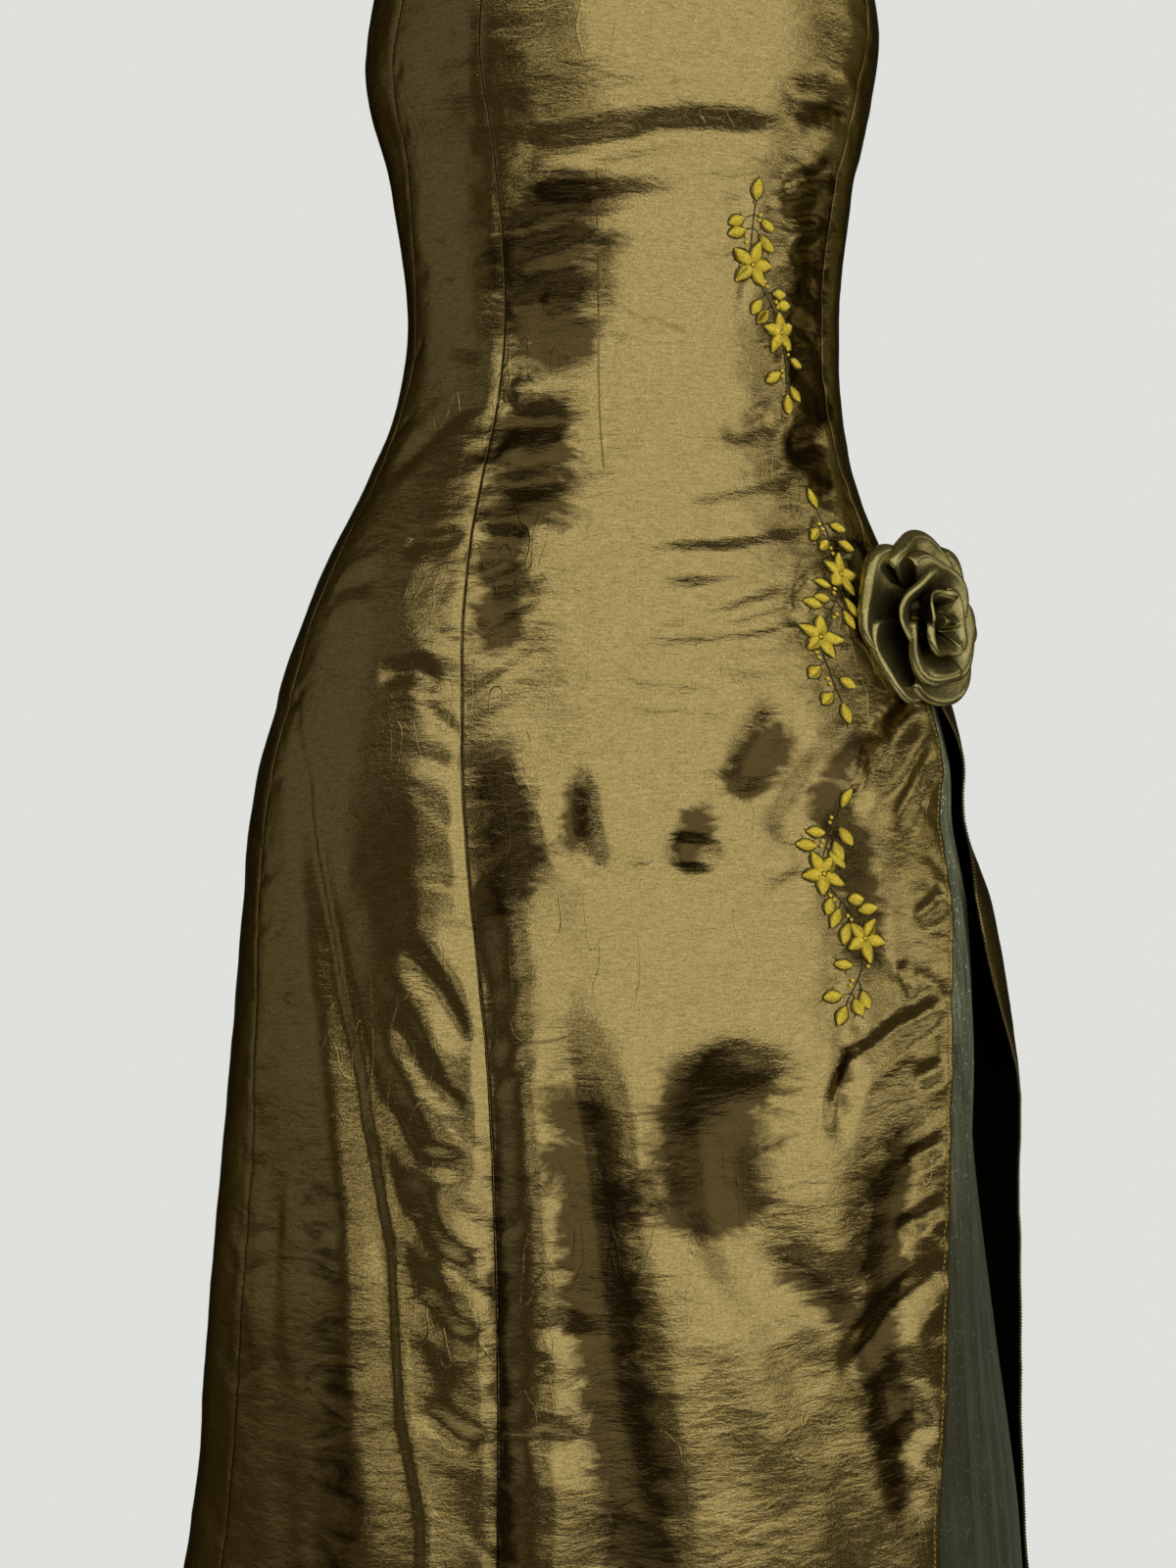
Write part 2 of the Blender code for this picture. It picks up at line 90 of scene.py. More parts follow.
def node(tree, kind, links=None, **settings):
    """Add a node; settings are its own properties or, by name, its input values; links join
    an input's name to another node's output."""
    made = tree.nodes.new(kind)
    for name, value in settings.items():
        label = name.replace("_", " ").title()
        if label in made.inputs:
            made.inputs[label].default_value = value
        else:
            setattr(made, name, value)
    for name, output in (links or {}).items():
        tree.links.new(output, made.inputs[name])
    return made


def new_material(name, **values):
    """A material and its Principled shader, with values given by socket name."""
    material = bpy.data.materials.new(name)
    material.use_nodes = True
    shader = material.node_tree.nodes["Principled BSDF"]
    for label, value in values.items():
        shader.inputs[label.replace("_", " ")].default_value = value
    return material, material.node_tree, shader


floor_shape = bmesh.new()
bmesh.ops.create_circle(floor_shape, cap_ends=True, segments=96, radius=FLOOR_RADIUS)
floor_mesh = bpy.data.meshes.new("floor")
bmesh.ops.translate(floor_shape, vec=(0.0, 0.0, cad_low.z - FLOOR_GAP), verts=floor_shape.verts)
floor_shape.to_mesh(floor_mesh)
floor_shape.free()
floor = bpy.data.objects.new("floor", floor_mesh)
bpy.context.collection.objects.link(floor)
floor_finish = new_material("matt_pale_paper", Base_Color=srgb("#D9D8D4"), Roughness=0.9)[0]
floor_mesh.materials.append(floor_finish)

world = bpy.data.worlds.new("studio")
bpy.context.scene.world = world
world.use_nodes = True
world_tree = world.node_tree
backdrop = world_tree.nodes["Background"]
backdrop.inputs["Color"].default_value = srgb("#E0E0DC")
backdrop.inputs["Strength"].default_value = 1.0
room = node(world_tree, "ShaderNodeBackground", color=srgb("#B5A284"), strength=0.12)
path = node(world_tree, "ShaderNodeLightPath")
seen = node(world_tree, "ShaderNodeMixShader")
world_tree.links.new(path.outputs["Is Camera Ray"], seen.inputs[0])
world_tree.links.new(room.outputs[0], seen.inputs[1])
world_tree.links.new(backdrop.outputs[0], seen.inputs[2])
world_tree.links.new(seen.outputs[0], world_tree.nodes["World Output"].inputs["Surface"])

SOFTBOXES = (
    # name, azimuth from straight ahead, distance, width, foot z, head z, radiance, colour
    ("key_window", 19.0, 1.9, 2.50, -0.95, 1.6, 0.86, "#FFFEFA"),
    ("high_left_window", -29.0, 1.9, 1.05, 0.20, 1.6, 0.86, "#FFFEFA"),
    ("low_left_window", -31.0, 1.9, 0.95, -0.68, -0.40, 0.86, "#FFFEFA"),
    ("upper_left_window", -52.0, 1.9, 0.55, 0.45, 1.0, 0.86, "#FFFEFA"),
    ("upper_right_window", 72.0, 1.9, 1.0, 0.30, 0.62, 0.86, "#FFFEFA"),
    ("low_right_window", 72.0, 1.9, 1.1, -0.62, -0.16, 0.8, "#FFFEFA"),
    ("left_wall", -100.0, 2.2, 2.4, -0.9, 1.2, 0.14, "#E4EAF0"),
    ("right_wall", 105.0, 2.4, 1.0, -1.4, 1.2, 0.10, "#E4EAF0"),
    ("back_window", 163.0, 2.4, 1.1, -1.0, 1.4, 0.7, "#FFFEFA"),
    ("matt_fill", 10.0, 2.0, 1.6, -0.6, 1.0, 1.3, "#FFFEFA"),
)
for name, azimuth, distance, width, foot, head, radiance, colour in SOFTBOXES:
    light = bpy.data.lights.new(name, "AREA")
    light.shape = "RECTANGLE"
    light.size = width
    light.size_y = head - foot
    light.energy = radiance * math.pi * width * (head - foot)
    light.color = srgb(colour)[:3]
    lamp = bpy.data.objects.new(name, light)
    bpy.context.collection.objects.link(lamp)
    turn = math.radians(azimuth)
    out = Vector((math.sin(turn), -math.cos(turn), 0.0))
    lamp.location = out * distance + Vector((0.0, 0.0, (foot + head) / 2))
    lamp.rotation_euler = (-out).to_track_quat("-Z", "Y").to_euler()
    lamp.visible_glossy = name != "matt_fill"
light = bpy.data.lights.new("overhead_fill", "AREA")
light.size = 3.0
light.energy = 1.7 * math.pi * light.size ** 2
lamp = bpy.data.objects.new("overhead_fill", light)
lamp.location = (0.0, 0.0, 2.4)
lamp.visible_glossy = False
bpy.context.collection.objects.link(lamp)

# --- Front panel ----------------------------------------------------------------------------
# One length of bronze shot taffeta from bust to hem between the princess seams, shaped by a
# long fish-eye dart at the wearer's right. Its left edge is turned and topstitched at the slit.

HEM_Z = -1.215
SLIT_HEAD_Z = -0.345
CLOTH_THICKNESS = 0.0009
SEAM_GAP = 0.0003
HALF_GAP = 0.62 * SEAM_GAP      # from a seam to each panel's edge, a little over half

SECTIONS = (
    # z,      right, left,  front, back: the hollow's half widths and depths
    (0.100,  0.138, 0.139, 0.110, 0.085),
    (0.050,  0.143, 0.146, 0.117, 0.090),
    (0.000,  0.151, 0.152, 0.121, 0.093),
    (-0.040, 0.153, 0.146, 0.116, 0.092),
    (-0.090, 0.139, 0.137, 0.104, 0.088),
    (-0.165, 0.129, 0.130, 0.095, 0.083),
    (-0.215, 0.134, 0.132, 0.098, 0.090),
    (-0.260, 0.152, 0.143, 0.106, 0.103),
    (-0.310, 0.176, 0.165, 0.115, 0.118),
    (-0.360, 0.196, 0.194, 0.123, 0.131),
    (-0.420, 0.212, 0.212, 0.132, 0.142),
    (-0.460, 0.219, 0.212, 0.138, 0.147),
    (-0.510, 0.223, 0.230, 0.144, 0.153),
    (-0.600, 0.231, 0.246, 0.154, 0.163),
    (-0.700, 0.239, 0.248, 0.164, 0.174),
    (-0.800, 0.247, 0.248, 0.174, 0.185),
    (-0.900, 0.258, 0.252, 0.184, 0.196),
    (-1.050, 0.273, 0.261, 0.197, 0.209),
    (-1.215, 0.287, 0.271, 0.208, 0.220),
)
RIGHT, LEFT, FRONT, BACK = 1, 2, 3, 4

TOP_EDGE = (
    # angle from the front centre, z
    (0.0,   0.088),
    (22.0,  0.094),
    (42.0,  0.098),
    (60.0,  0.082),
    (76.0,  0.056),
    (90.0,  0.022),
    (104.0, -0.030),
    (120.0, -0.058),
    (145.0, -0.074),
    (180.0, -0.080),
)

SEAMS = (
    # z,      right side, right princess, front edge, free edge, left side
    (0.100,  -70.0, -45.0, 46.0, 46.0, 84.0),
    (0.000,  -72.0, -46.0, 48.0, 48.0, 86.0),
    (-0.165, -84.0, -46.5, 51.0, 51.0, 90.0),
    (-0.260, -84.0, -45.0, 52.0, 52.0, 92.0),
    (-0.345, -83.5, -41.0, 52.0, 52.0, 93.0),
    (-0.390, -83.0, -38.8, 51.4, 58.0, 94.0),
    (-0.425, -82.5, -37.6, 51.0, 72.0, 96.0),
    (-0.460, -82.0, -36.4, 49.4, 71.0, 98.0),
    (-0.500, -81.0, -35.3, 46.4, 57.0, 99.0),
    (-0.545, -79.5, -33.6, 42.6, 57.5, 100.0),
    (-0.590, -78.5, -32.2, 39.8, 64.0, 102.0),
    (-0.640, -77.5, -31.3, 37.2, 75.0, 106.0),
    (-0.740, -76.5, -30.3, 34.7, 77.0, 108.0),
    (-0.860, -76.0, -30.0, 30.6, 78.0, 109.0),
    (-1.215, -76.0, -30.0, 27.0, 80.0, 110.0),
)
RIGHT_SIDE, RIGHT_PRINCESS, FRONT_EDGE, FREE_EDGE, LEFT_SIDE = 1, 2, 3, 4, 5

FOLDS = (
    # head z, head angle, hem angle, bend, depth,  width: the long folds of the skirt
    (-0.36, -74.0,  -28.0, 14.0,  -0.0075, 5.0),
    (-0.36, -62.0,  -50.0,  2.0,   0.0060, 9.0),
    (-0.58, -24.0,   -4.0,  0.0,  -0.0085, 4.5),
    (-0.56, -10.0,    8.0,  0.0,   0.0050, 6.0),
    (-0.62,  16.0,   20.0,  0.0,  -0.0060, 5.0),
    (-0.42, -92.0,  -90.0,  0.0,   0.0035, 7.0),
    (-0.50, -106.0, -110.0, 0.0,  -0.0100, 7.0),
    (-0.44, -126.0, -132.0, 0.0,   0.0110, 9.0),
    (-0.52, -152.0, -156.0, 0.0,  -0.0110, 8.0),
    (-0.48, -174.0, -176.0, 0.0,   0.0080, 8.0),
    (-0.52, 158.0,  160.0,  0.0,  -0.0105, 8.0),
    (-0.46, 136.0,  138.0,  0.0,   0.0120, 9.0),
    (-0.54, 118.0,  118.0,  0.0,  -0.0090, 6.0),
)
VALLEY_DEPTH = 0.0050           # the right princess seam pulls the skirt in
VALLEY_WIDTH = 3.6
VALLEY_HEAD_Z = -0.30
BUST_FULLNESS = 0.007
BUST_ANGLE = 36.0
BUST_SPREAD = 26.0
BUST_RISE = 0.075


def curve(rows, column, keys):
    """A table's column at the keys, on a smooth curve through its rows."""
    table = sorted(rows)
    knots = np.array([row[0] for row in table])
    values = np.array([row[column] for row in table])
    before = np.r_[0, np.arange(len(knots) - 1)]
    after = np.r_[np.arange(1, len(knots)), len(knots) - 1]
    slopes = (values[after] - values[before]) / (knots[after] - knots[before])
    keys = np.clip(np.asarray(keys, float), knots[0], knots[-1])
    low = np.clip(np.searchsorted(knots, keys, side="right") - 1, 0, len(knots) - 2)
    span = knots[low + 1] - knots[low]
    u = (keys - knots[low]) / span
    return (values[low] * (1 + 2 * u) * (1 - u) ** 2 + values[low + 1] * u * u * (3 - 2 * u)
            + slopes[low] * span * u * (1 - u) ** 2 - slopes[low + 1] * span * u * u * (1 - u))


def ease(value):
    """A smooth step from 0 to 1."""
    value = np.clip(value, 0.0, 1.0)
    return value * value * (3 - 2 * value)


def hump(distance, width):
    """A soft bump, 1 at its middle."""
    return np.exp(-(distance / width) ** 2)


def turn_between(angle, other):
    """Signed turn from one angle to another, the short way round."""
    return (angle - other + 180.0) % 360.0 - 180.0


def seam(column, z):
    """Plan angle of a seam or edge; above the slit head both slit edges are one seam."""
    angle = curve(SEAMS, column, z)
    if column == FREE_EDGE:
        angle = np.where(np.asarray(z) > SLIT_HEAD_Z, curve(SEAMS, FRONT_EDGE, z), angle)
    return angle


def plain_point(angle, z):
    """Points of the plain hollow form, as an array with a row of x, y, z for each."""
    turn = np.radians(angle)
    across = np.where(np.sin(turn) > 0, curve(SECTIONS, LEFT, z), curve(SECTIONS, RIGHT, z))
    deep = np.where(np.cos(turn) > 0, curve(SECTIONS, FRONT, z), curve(SECTIONS, BACK, z))
    return np.stack((across * np.sin(turn), -deep * np.cos(turn), z + 0 * turn), axis=-1)


def plan_normal(angle, z):
    """Level direction straight out of the plain form."""
    along = plain_point(angle + 0.5, z) - plain_point(angle - 0.5, z)
    length = np.hypot(along[..., 0], along[..., 1])
    return np.stack((along[..., 1] / length, -along[..., 0] / length, 0 * length), axis=-1)


def fold_height(angle, z):
    """How far the long folds lift the cloth off its plain section."""
    height = np.zeros(np.broadcast(angle, z).shape)
    for head_z, head_angle, hem_angle, bend, depth, width in FOLDS:
        drop = np.clip((head_z - z) / (head_z - HEM_Z), 0.0, 1.0)
        middle = head_angle + (hem_angle - head_angle) * drop + bend * 4 * drop * (1 - drop)
        growth = ease(drop * 2.2) * (0.55 + 0.45 * drop)
        height = height + depth * growth * hump(turn_between(angle, middle), width)
    valley = ease((VALLEY_HEAD_Z - z) / 0.25)
    away = turn_between(angle, seam(RIGHT_PRINCESS, z))
    uneven = 0.55 + 0.35 * np.sin(31.0 * z + 1.0) * np.sin(13.0 * z) + 0.1 * np.sin(83.0 * z)
    valley = valley * np.where(away < 0, uneven + (1 - uneven) * hump(away, 1.5), 1.0)
    rims = hump(away - 7.5, 4.0) + hump(away + 7.5, 4.0)
    height = height + VALLEY_DEPTH * valley * (0.6 * rims - hump(away, VALLEY_WIDTH))
    bust = hump(np.abs(angle) - BUST_ANGLE, BUST_SPREAD) * hump(z, BUST_RISE)
    return height + BUST_FULLNESS * bust


def reach(z):
    """Mean radius of the hollow at a height, which turns degrees into lengths of cloth."""
    return 0.25 * sum(curve(SECTIONS, column, z) for column in (RIGHT, LEFT, FRONT, BACK))


# Creases. Each is a soft trough along a line of points given as an angle and a height; its
# depth and half width are in millimetres, and a negative depth is a ridge.
# A pair of half widths is for the wearer's right and left of a line that runs down.
CREASES = (
    # under the bust, across the ribs
    (3.0,  8.0, ((-43.0, -0.094), (-23.0, -0.089), (-1.0, -0.078), (27.0, -0.074))),
    (1.7,  9.0, ((-42.0, -0.118), (-23.0, -0.120), (2.0, -0.113))),
    (1.6,  6.0, ((-44.0, -0.148), (-32.0, -0.143), (-20.0, -0.133))),
    (1.5,  5.0, ((-45.0, -0.172), (-34.0, -0.170))),
    (-1.4, 6.0, ((-43.0, -0.216), (-38.0, -0.224))),
    (-1.3, 7.0, ((-42.0, -0.252), (-38.0, -0.258))),
    (1.5,  8.0, ((-44.0, -0.236), (-26.0, -0.238))),
    (1.4,  7.0, ((-40.0, -0.275), (-24.0, -0.268))),
    (2.8,  8.0, ((22.0, -0.056), (32.0, -0.048), (46.0, -0.052))),
    (2.2,  5.0, ((24.0, -0.104), (34.0, -0.094), (46.0, -0.086))),
    (1.8,  4.5, ((28.0, -0.117), (46.0, -0.108))),
    (1.8,  4.5, ((32.0, -0.133), (47.0, -0.128))),
    (1.6,  4.0, ((37.0, -0.153), (48.0, -0.149))),
    (1.5,  5.0, ((33.0, -0.172), (48.0, -0.176))),
    (1.9,  6.0, ((8.0, -0.243), (16.0, -0.238), (26.0, -0.226))),
    (1.8,  6.0, ((28.0, -0.250), (38.0, -0.240), (48.0, -0.236))),
    # across the hips, gathered towards the embroidery
    (1.9,  5.5, ((-12.0, -0.304), (10.0, -0.298), (31.0, -0.286))),
    (1.7,  6.0, ((-10.0, -0.319), (6.0, -0.320), (25.0, -0.309))),
    (2.0,  5.0, ((-3.0, -0.343), (11.0, -0.328), (22.0, -0.321))),
    (1.8,  4.5, ((-14.0, -0.356), (8.0, -0.350), (25.0, -0.336))),
    (1.6,  6.0, ((0.0, -0.372), (14.0, -0.368), (28.0, -0.352))),
    (1.5,  5.0, ((-4.0, -0.278), (12.0, -0.270), (28.0, -0.258))),
    (2.2,  4.0, ((18.0, -0.338), (26.0, -0.318))),
    (1.7,  7.0, ((-18.0, -0.381), (-9.0, -0.390), (6.0, -0.391))),
    (2.0,  6.0, ((-44.0, -0.301), (-30.0, -0.304))),
    (1.4,  7.0, ((-38.0, -0.340), (-26.0, -0.334))),
    # below the hips
    (3.2,  9.0, ((50.0, -0.388), (40.0, -0.404), (28.0, -0.436))),
    (2.4,  7.0, ((50.0, -0.412), (42.0, -0.430), (34.0, -0.462))),
    (3.4, 10.0, ((15.0, -0.388), (10.0, -0.410), (5.0, -0.440))),
    (3.4, 11.0, ((20.0, -0.412), (15.0, -0.440), (11.0, -0.472))),
    (2.2,  6.0, ((32.0, -0.415), (28.0, -0.436), (23.0, -0.452))),
    (2.6,  7.0, ((-21.0, -0.424), (-20.0, -0.450), (-18.0, -0.486))),
    (1.6,  5.0, ((-24.0, -0.438), (-20.0, -0.468))),
    (4.6, 13.0, ((-2.0, -0.462), (-3.0, -0.482))),
    (1.6,  6.0, ((8.0, -0.498), (16.0, -0.482))),
    (2.2,  5.0, ((30.0, -0.534), (32.5, -0.552))),
    (2.0,  5.0, ((34.0, -0.512), (45.0, -0.498))),
    (3.2,  5.5, ((42.0, -0.557), (29.0, -0.570), (20.0, -0.587), (16.5, -0.606), (15.5, -0.634))),
    (1.8,  5.0, ((38.0, -0.592), (30.0, -0.600))),
    (4.2, 13.0, ((-26.0, -0.535), (-21.5, -0.580), (-19.0, -0.620), (-16.0, -0.700),
                 (-12.0, -0.790), (-8.0, -0.860))),
    (-3.4, 16.0, ((-13.0, -0.560), (-8.0, -0.640), (1.0, -0.735), (9.0, -0.830))),
    (8.0, 24.0, ((9.0, -0.575), (0.0, -0.625), (-1.0, -0.660), (3.0, -0.720))),
    (3.4, 13.0, ((20.0, -0.724), (25.0, -0.780), (27.0, -0.850))),
    (3.0,  8.0, ((34.0, -0.700), (25.0, -0.722), (15.0, -0.756))),
    (2.2,  4.5, ((36.0, -0.634), (27.0, -0.645))),
    (2.0,  4.5, ((35.0, -0.668), (25.0, -0.680))),
    (2.4,  7.0, ((30.0, -0.780), (25.0, -0.800))),
    (2.0,  8.0, ((-26.0, -0.770), (-20.0, -0.780))),
    (2.0,  7.0, ((-24.0, -0.712), (-18.0, -0.728))),
    # the wearer's right side, and flames beside the princess seam
    (2.6, (12.0, 3.0), ((-80.0, -0.384), (-68.0, -0.436), (-62.0, -0.496), (-53.0, -0.592),
                 (-47.0, -0.680), (-44.5, -0.767), (-41.0, -0.815), (-40.0, -0.880),
                 (-38.0, -1.000))),
    (2.0, 6.0, ((-56.0, -0.377), (-48.0, -0.374), (-42.0, -0.383))),
    (1.8,  5.0, ((-60.0, -0.304), (-44.0, -0.301))),
    (1.6,  7.0, ((-76.0, -0.268), (-58.0, -0.232), (-50.0, -0.222))),
    (1.4,  6.0, ((-66.0, -0.190), (-50.0, -0.196))),
    (1.5,  7.0, ((-78.0, -0.330), (-62.0, -0.322))),
    (3.0,  7.0, ((-46.0, -0.520), (-40.0, -0.545), (-34.5, -0.578))),
    (2.6,  6.0, ((-47.0, -0.560), (-41.0, -0.590), (-34.0, -0.612))),
    (2.6,  6.0, ((-48.0, -0.600), (-42.0, -0.632), (-34.0, -0.636))),
    (2.4,  6.0, ((-44.0, -0.655), (-39.0, -0.680), (-33.0, -0.690))),
    (2.4,  6.0, ((-42.0, -0.700), (-37.0, -0.722), (-32.5, -0.728))),
    (2.2,  6.0, ((-41.0, -0.760), (-36.0, -0.775), (-32.0, -0.780))),
    (1.5,  9.0, ((-70.0, -0.640), (-66.0, -0.760))),
    (1.8, 10.0, ((-62.0, -0.780), (-58.0, -0.960))),
    # the backs and the wearer's left, out of the front's sight
    (2.0,  8.0, ((100.0, -0.130), (128.0, -0.118), (160.0, -0.122))),
    (1.8,  7.0, ((98.0, -0.160), (126.0, -0.166), (150.0, -0.156))),
    (2.2,  9.0, ((110.0, -0.215), (140.0, -0.205), (172.0, -0.220))),
    (2.0,  8.0, ((-172.0, -0.150), (-140.0, -0.142), (-104.0, -0.150))),
    (1.8,  7.0, ((-170.0, -0.190), (-146.0, -0.184), (-116.0, -0.196))),
    (2.2,  9.0, ((-174.0, -0.236), (-140.0, -0.226), (-100.0, -0.240))),
    (2.4, 10.0, ((-170.0, -0.420), (-150.0, -0.440), (-118.0, -0.430))),
    (2.4, 10.0, ((170.0, -0.430), (146.0, -0.446), (120.0, -0.436))),
    (2.6, 10.0, ((98.0, -0.360), (112.0, -0.420), (116.0, -0.500))),
    (2.6, 10.0, ((-94.0, -0.380), (-110.0, -0.440), (-114.0, -0.520))),
)


# Broad soft folds that lean away from the light. Each is a soft trough in the cloth, and along it
# the taffeta's colour is darkened to deep brown with ragged edges: painted shade.
DARK_FOLDS = (
    # under the bust, the waist and the wearer's right hip, beside the dart and seam
    (2.2, 28.0, ((-38.0, -0.096), (-34.0, -0.120), (-35.0, -0.160), (-36.0, -0.220))),
    (2.1, 24.0, ((-36.0, -0.215), (-34.0, -0.262), (-36.0, -0.305))),
    (2.1, 12.0, ((-37.0, -0.290), (-35.0, -0.335), (-33.0, -0.375))),
    # the wearer's left, where the cloth turns to the side
    (1.7,  8.0, ((25.0, -0.064), (38.0, -0.056), (50.0, -0.048))),
    (1.4,  9.0, ((24.0, -0.112), (36.0, -0.104), (47.0, -0.098))),
    (2.2, 19.0, ((42.0, -0.060), (43.0, -0.150), (43.0, -0.260))),
    (2.2, 17.0, ((26.0, -0.240), (36.0, -0.252), (44.0, -0.268))),
    (1.4,  9.0, ((33.0, -0.172), (41.0, -0.212))),
    (1.8, 12.0, ((50.0, -0.286), (51.0, -0.338))),
    (0.8, 30.0, ((38.0, -0.270), (34.0, -0.340), (28.0, -0.400))),
    # below the hips
    (1.9,  9.0, ((50.0, -0.378), (38.0, -0.398), (27.0, -0.414), (17.0, -0.440))),
    (2.3, 12.0, ((14.0, -0.396), (8.0, -0.420), (3.0, -0.446))),
    (1.9, 10.0, ((-1.0, -0.440), (-4.0, -0.485))),
    (2.0, 15.0, ((17.0, -0.425), (25.0, -0.476), (24.0, -0.550))),
    (1.7,  7.0, ((-20.0, -0.430), (-20.0, -0.478))),
    (2.0, 13.0, ((-33.0, -0.412), (-29.0, -0.467), (-28.0, -0.512))),
    # down the skirt
    (2.3, 17.0, ((-24.0, -0.557), (-20.0, -0.633), (-16.0, -0.728), (-12.0, -0.840),
                 (-9.0, -0.960))),
    (2.9, 27.0, ((-1.0, -0.572), (-2.0, -0.625), (-1.0, -0.682))),
    (1.4,  6.0, ((19.0, -0.572), (17.0, -0.620))),
    (2.2, 15.0, ((32.0, -0.600), (24.0, -0.661), (22.0, -0.740), (25.0, -0.841))),
    (1.5, 10.0, ((6.0, -0.684), (19.0, -0.730))),
    (1.5,  6.0, ((-31.5, -0.570), (-30.5, -0.700), (-29.0, -0.840), (-29.0, -1.000))),
    (1.0, 20.0, ((-60.0, -0.600), (-54.0, -0.740), (-50.0, -0.900))),
    # the backs
    (1.2, 20.0, ((140.0, -0.480), (144.0, -0.580), (142.0, -0.720))),
    (1.2, 22.0, ((-148.0, -0.460), (-152.0, -0.600), (-150.0, -0.780)))
)


def worked(rows, ridge, angle, z):
    """Sum, in mm, of troughs along placed lines, each with a low ridge on either side."""
    total = np.zeros(angle.shape)
    for depth, width, line in rows:
        middle = line[len(line) // 2]
        metres = math.radians(1.0) * float(reach(middle[1]))
        margin = 0.005 * max(np.atleast_1d(width))
        low_z = min(point[1] for point in line) - margin
        high_z = max(point[1] for point in line) + margin
        near = np.flatnonzero((z > low_z) & (z < high_z))
        if not len(near):
            continue
        across = turn_between(angle[near], middle[0]) * metres
        rise = z[near]
        spots = [np.array(((point[0] - middle[0]) * metres, point[1])) for point in line]
        runs = [np.linalg.norm(b - a) for a, b in zip(spots, spots[1:])]
        nearest = np.full(len(near), 9.0)
        place = np.zeros(len(near))
        left_of = np.zeros(len(near))
        travelled = 0.0
        for start, stop, run in zip(spots, spots[1:], runs):
            along = (stop - start) / run
            step = (across - start[0]) * along[0] + (rise - start[1]) * along[1]
            held = np.clip(step, 0.0, run)
            away = np.hypot(across - start[0] - held * along[0],
                            rise - start[1] - held * along[1])
            closer = away < nearest
            nearest = np.where(closer, away, nearest)
            place = np.where(closer, travelled + held, place)
            beside = (rise - start[1]) * along[0] - (across - start[0]) * along[1]
            left_of = np.where(closer, beside, left_of)
            travelled += run
        share = place / travelled
        fade = ease(share * 3.5 + 0.12) * ease((1 - share) * 3.5 + 0.12)
        away = nearest * 1000.0
        if isinstance(width, tuple):
            width = np.where(left_of > 0, width[1], width[0])
        trough = hump(away, width) - ridge * hump(away - 1.9 * width, 0.9 * width)
        total[near] += depth * fade * trough
    return total


def crease_height(angle, z):
    """How far the creases and dark folds push the cloth in or out, in metres."""
    return -0.001 * (worked(CREASES, 0.30, angle, z) + worked(DARK_FOLDS, 0.20, angle, z))


def pucker_rows():
    """Short puckers where the cloth is eased into a seam, uneven in place, length and depth."""
    draw = random.Random(7)
    rows = []
    for column, top, foot, step, lean in (
            (RIGHT_PRINCESS, 0.06, -0.30, 0.017, 0.0),
            (RIGHT_PRINCESS, -0.30, -1.20, 0.024, 0.6),
            (FRONT_EDGE, 0.06, -0.33, 0.018, 0.0),
            (FRONT_EDGE, -0.36, -1.20, 0.022, 0.4),
            (RIGHT_SIDE, 0.00, -1.20, 0.034, 0.3),
            (LEFT_SIDE, 0.00, -1.20, 0.036, 0.3)):
        z = top
        while z > foot:
            z -= step * draw.uniform(0.6, 1.5)
            for side in (-1, 1):
                if draw.random() < 0.25:
                    continue
                length = draw.uniform(0.012, 0.036) * (1.0 + 0.4 * (z < -0.3))
                rows.append((column, z, side, length, lean * draw.uniform(0.3, 1.6),
                             draw.uniform(0.4, 1.3), draw.uniform(3.0, 5.5)))
    return rows


PUCKERS = pucker_rows()


def pucker_height(angle, z):
    """How far the puckers beside the seams push the cloth in."""
    height = np.zeros(angle.shape)
    for column, seam_z, side, length, lean, depth, width in PUCKERS:
        near = np.flatnonzero(np.abs(z - seam_z) < 0.07)
        if not len(near):
            continue
        metres = math.radians(1.0) * float(reach(seam_z))
        across = turn_between(angle[near], float(seam(column, seam_z))) * metres * side
        rise = z[near] - seam_z - lean * np.abs(across)
        fade = ease(across / 0.004 + 0.4) * ease((length - across) / (0.6 * length))
        fade = np.where(across < -0.002, 0.0, fade)
        height[near] -= depth * 0.001 * fade * hump(rise * 1000.0, width)
    return height


ZIP_TOP_Z = -0.092              # round it the backs are held smooth


def crumple_height(angle, z):
    """Crisp small undulations of worn taffeta: broad soft ones and finer sharp-backed ones."""
    turn = np.radians(angle)
    radius = reach(z)
    total = np.zeros(angle.shape)
    for scale, rise_scale, height, sharp, offset in (
            (9.0, 8.0, 0.0022, False, 3.0),
            (20.0, 26.0, 0.0009, False, 17.0),
            (26.0, 30.0, 0.0006, True, 29.0),
            (60.0, 90.0, 0.00028, True, 41.0)):
        places = np.stack((np.sin(turn) * radius * scale + offset,
                           -np.cos(turn) * radius * scale, z * rise_scale), axis=-1)
        values = np.array([noise.noise(place) for place in places.tolist()])
        if sharp:
            values = 0.35 - np.abs(values) * 1.4
        total += height * values
    zip_top = hump(180.0 - np.abs(turn_between(angle, 0.0)), 12.0) * hump(z - ZIP_TOP_Z, 0.03)
    return total * (1 - 0.95 * zip_top)


DART_HEAD_Z, DART_FOOT_Z = -0.080, -0.285
DART = ((-0.082, -21.6), (-0.101, -21.6), (-0.154, -21.3), (-0.220, -20.7), (-0.279, -17.3))


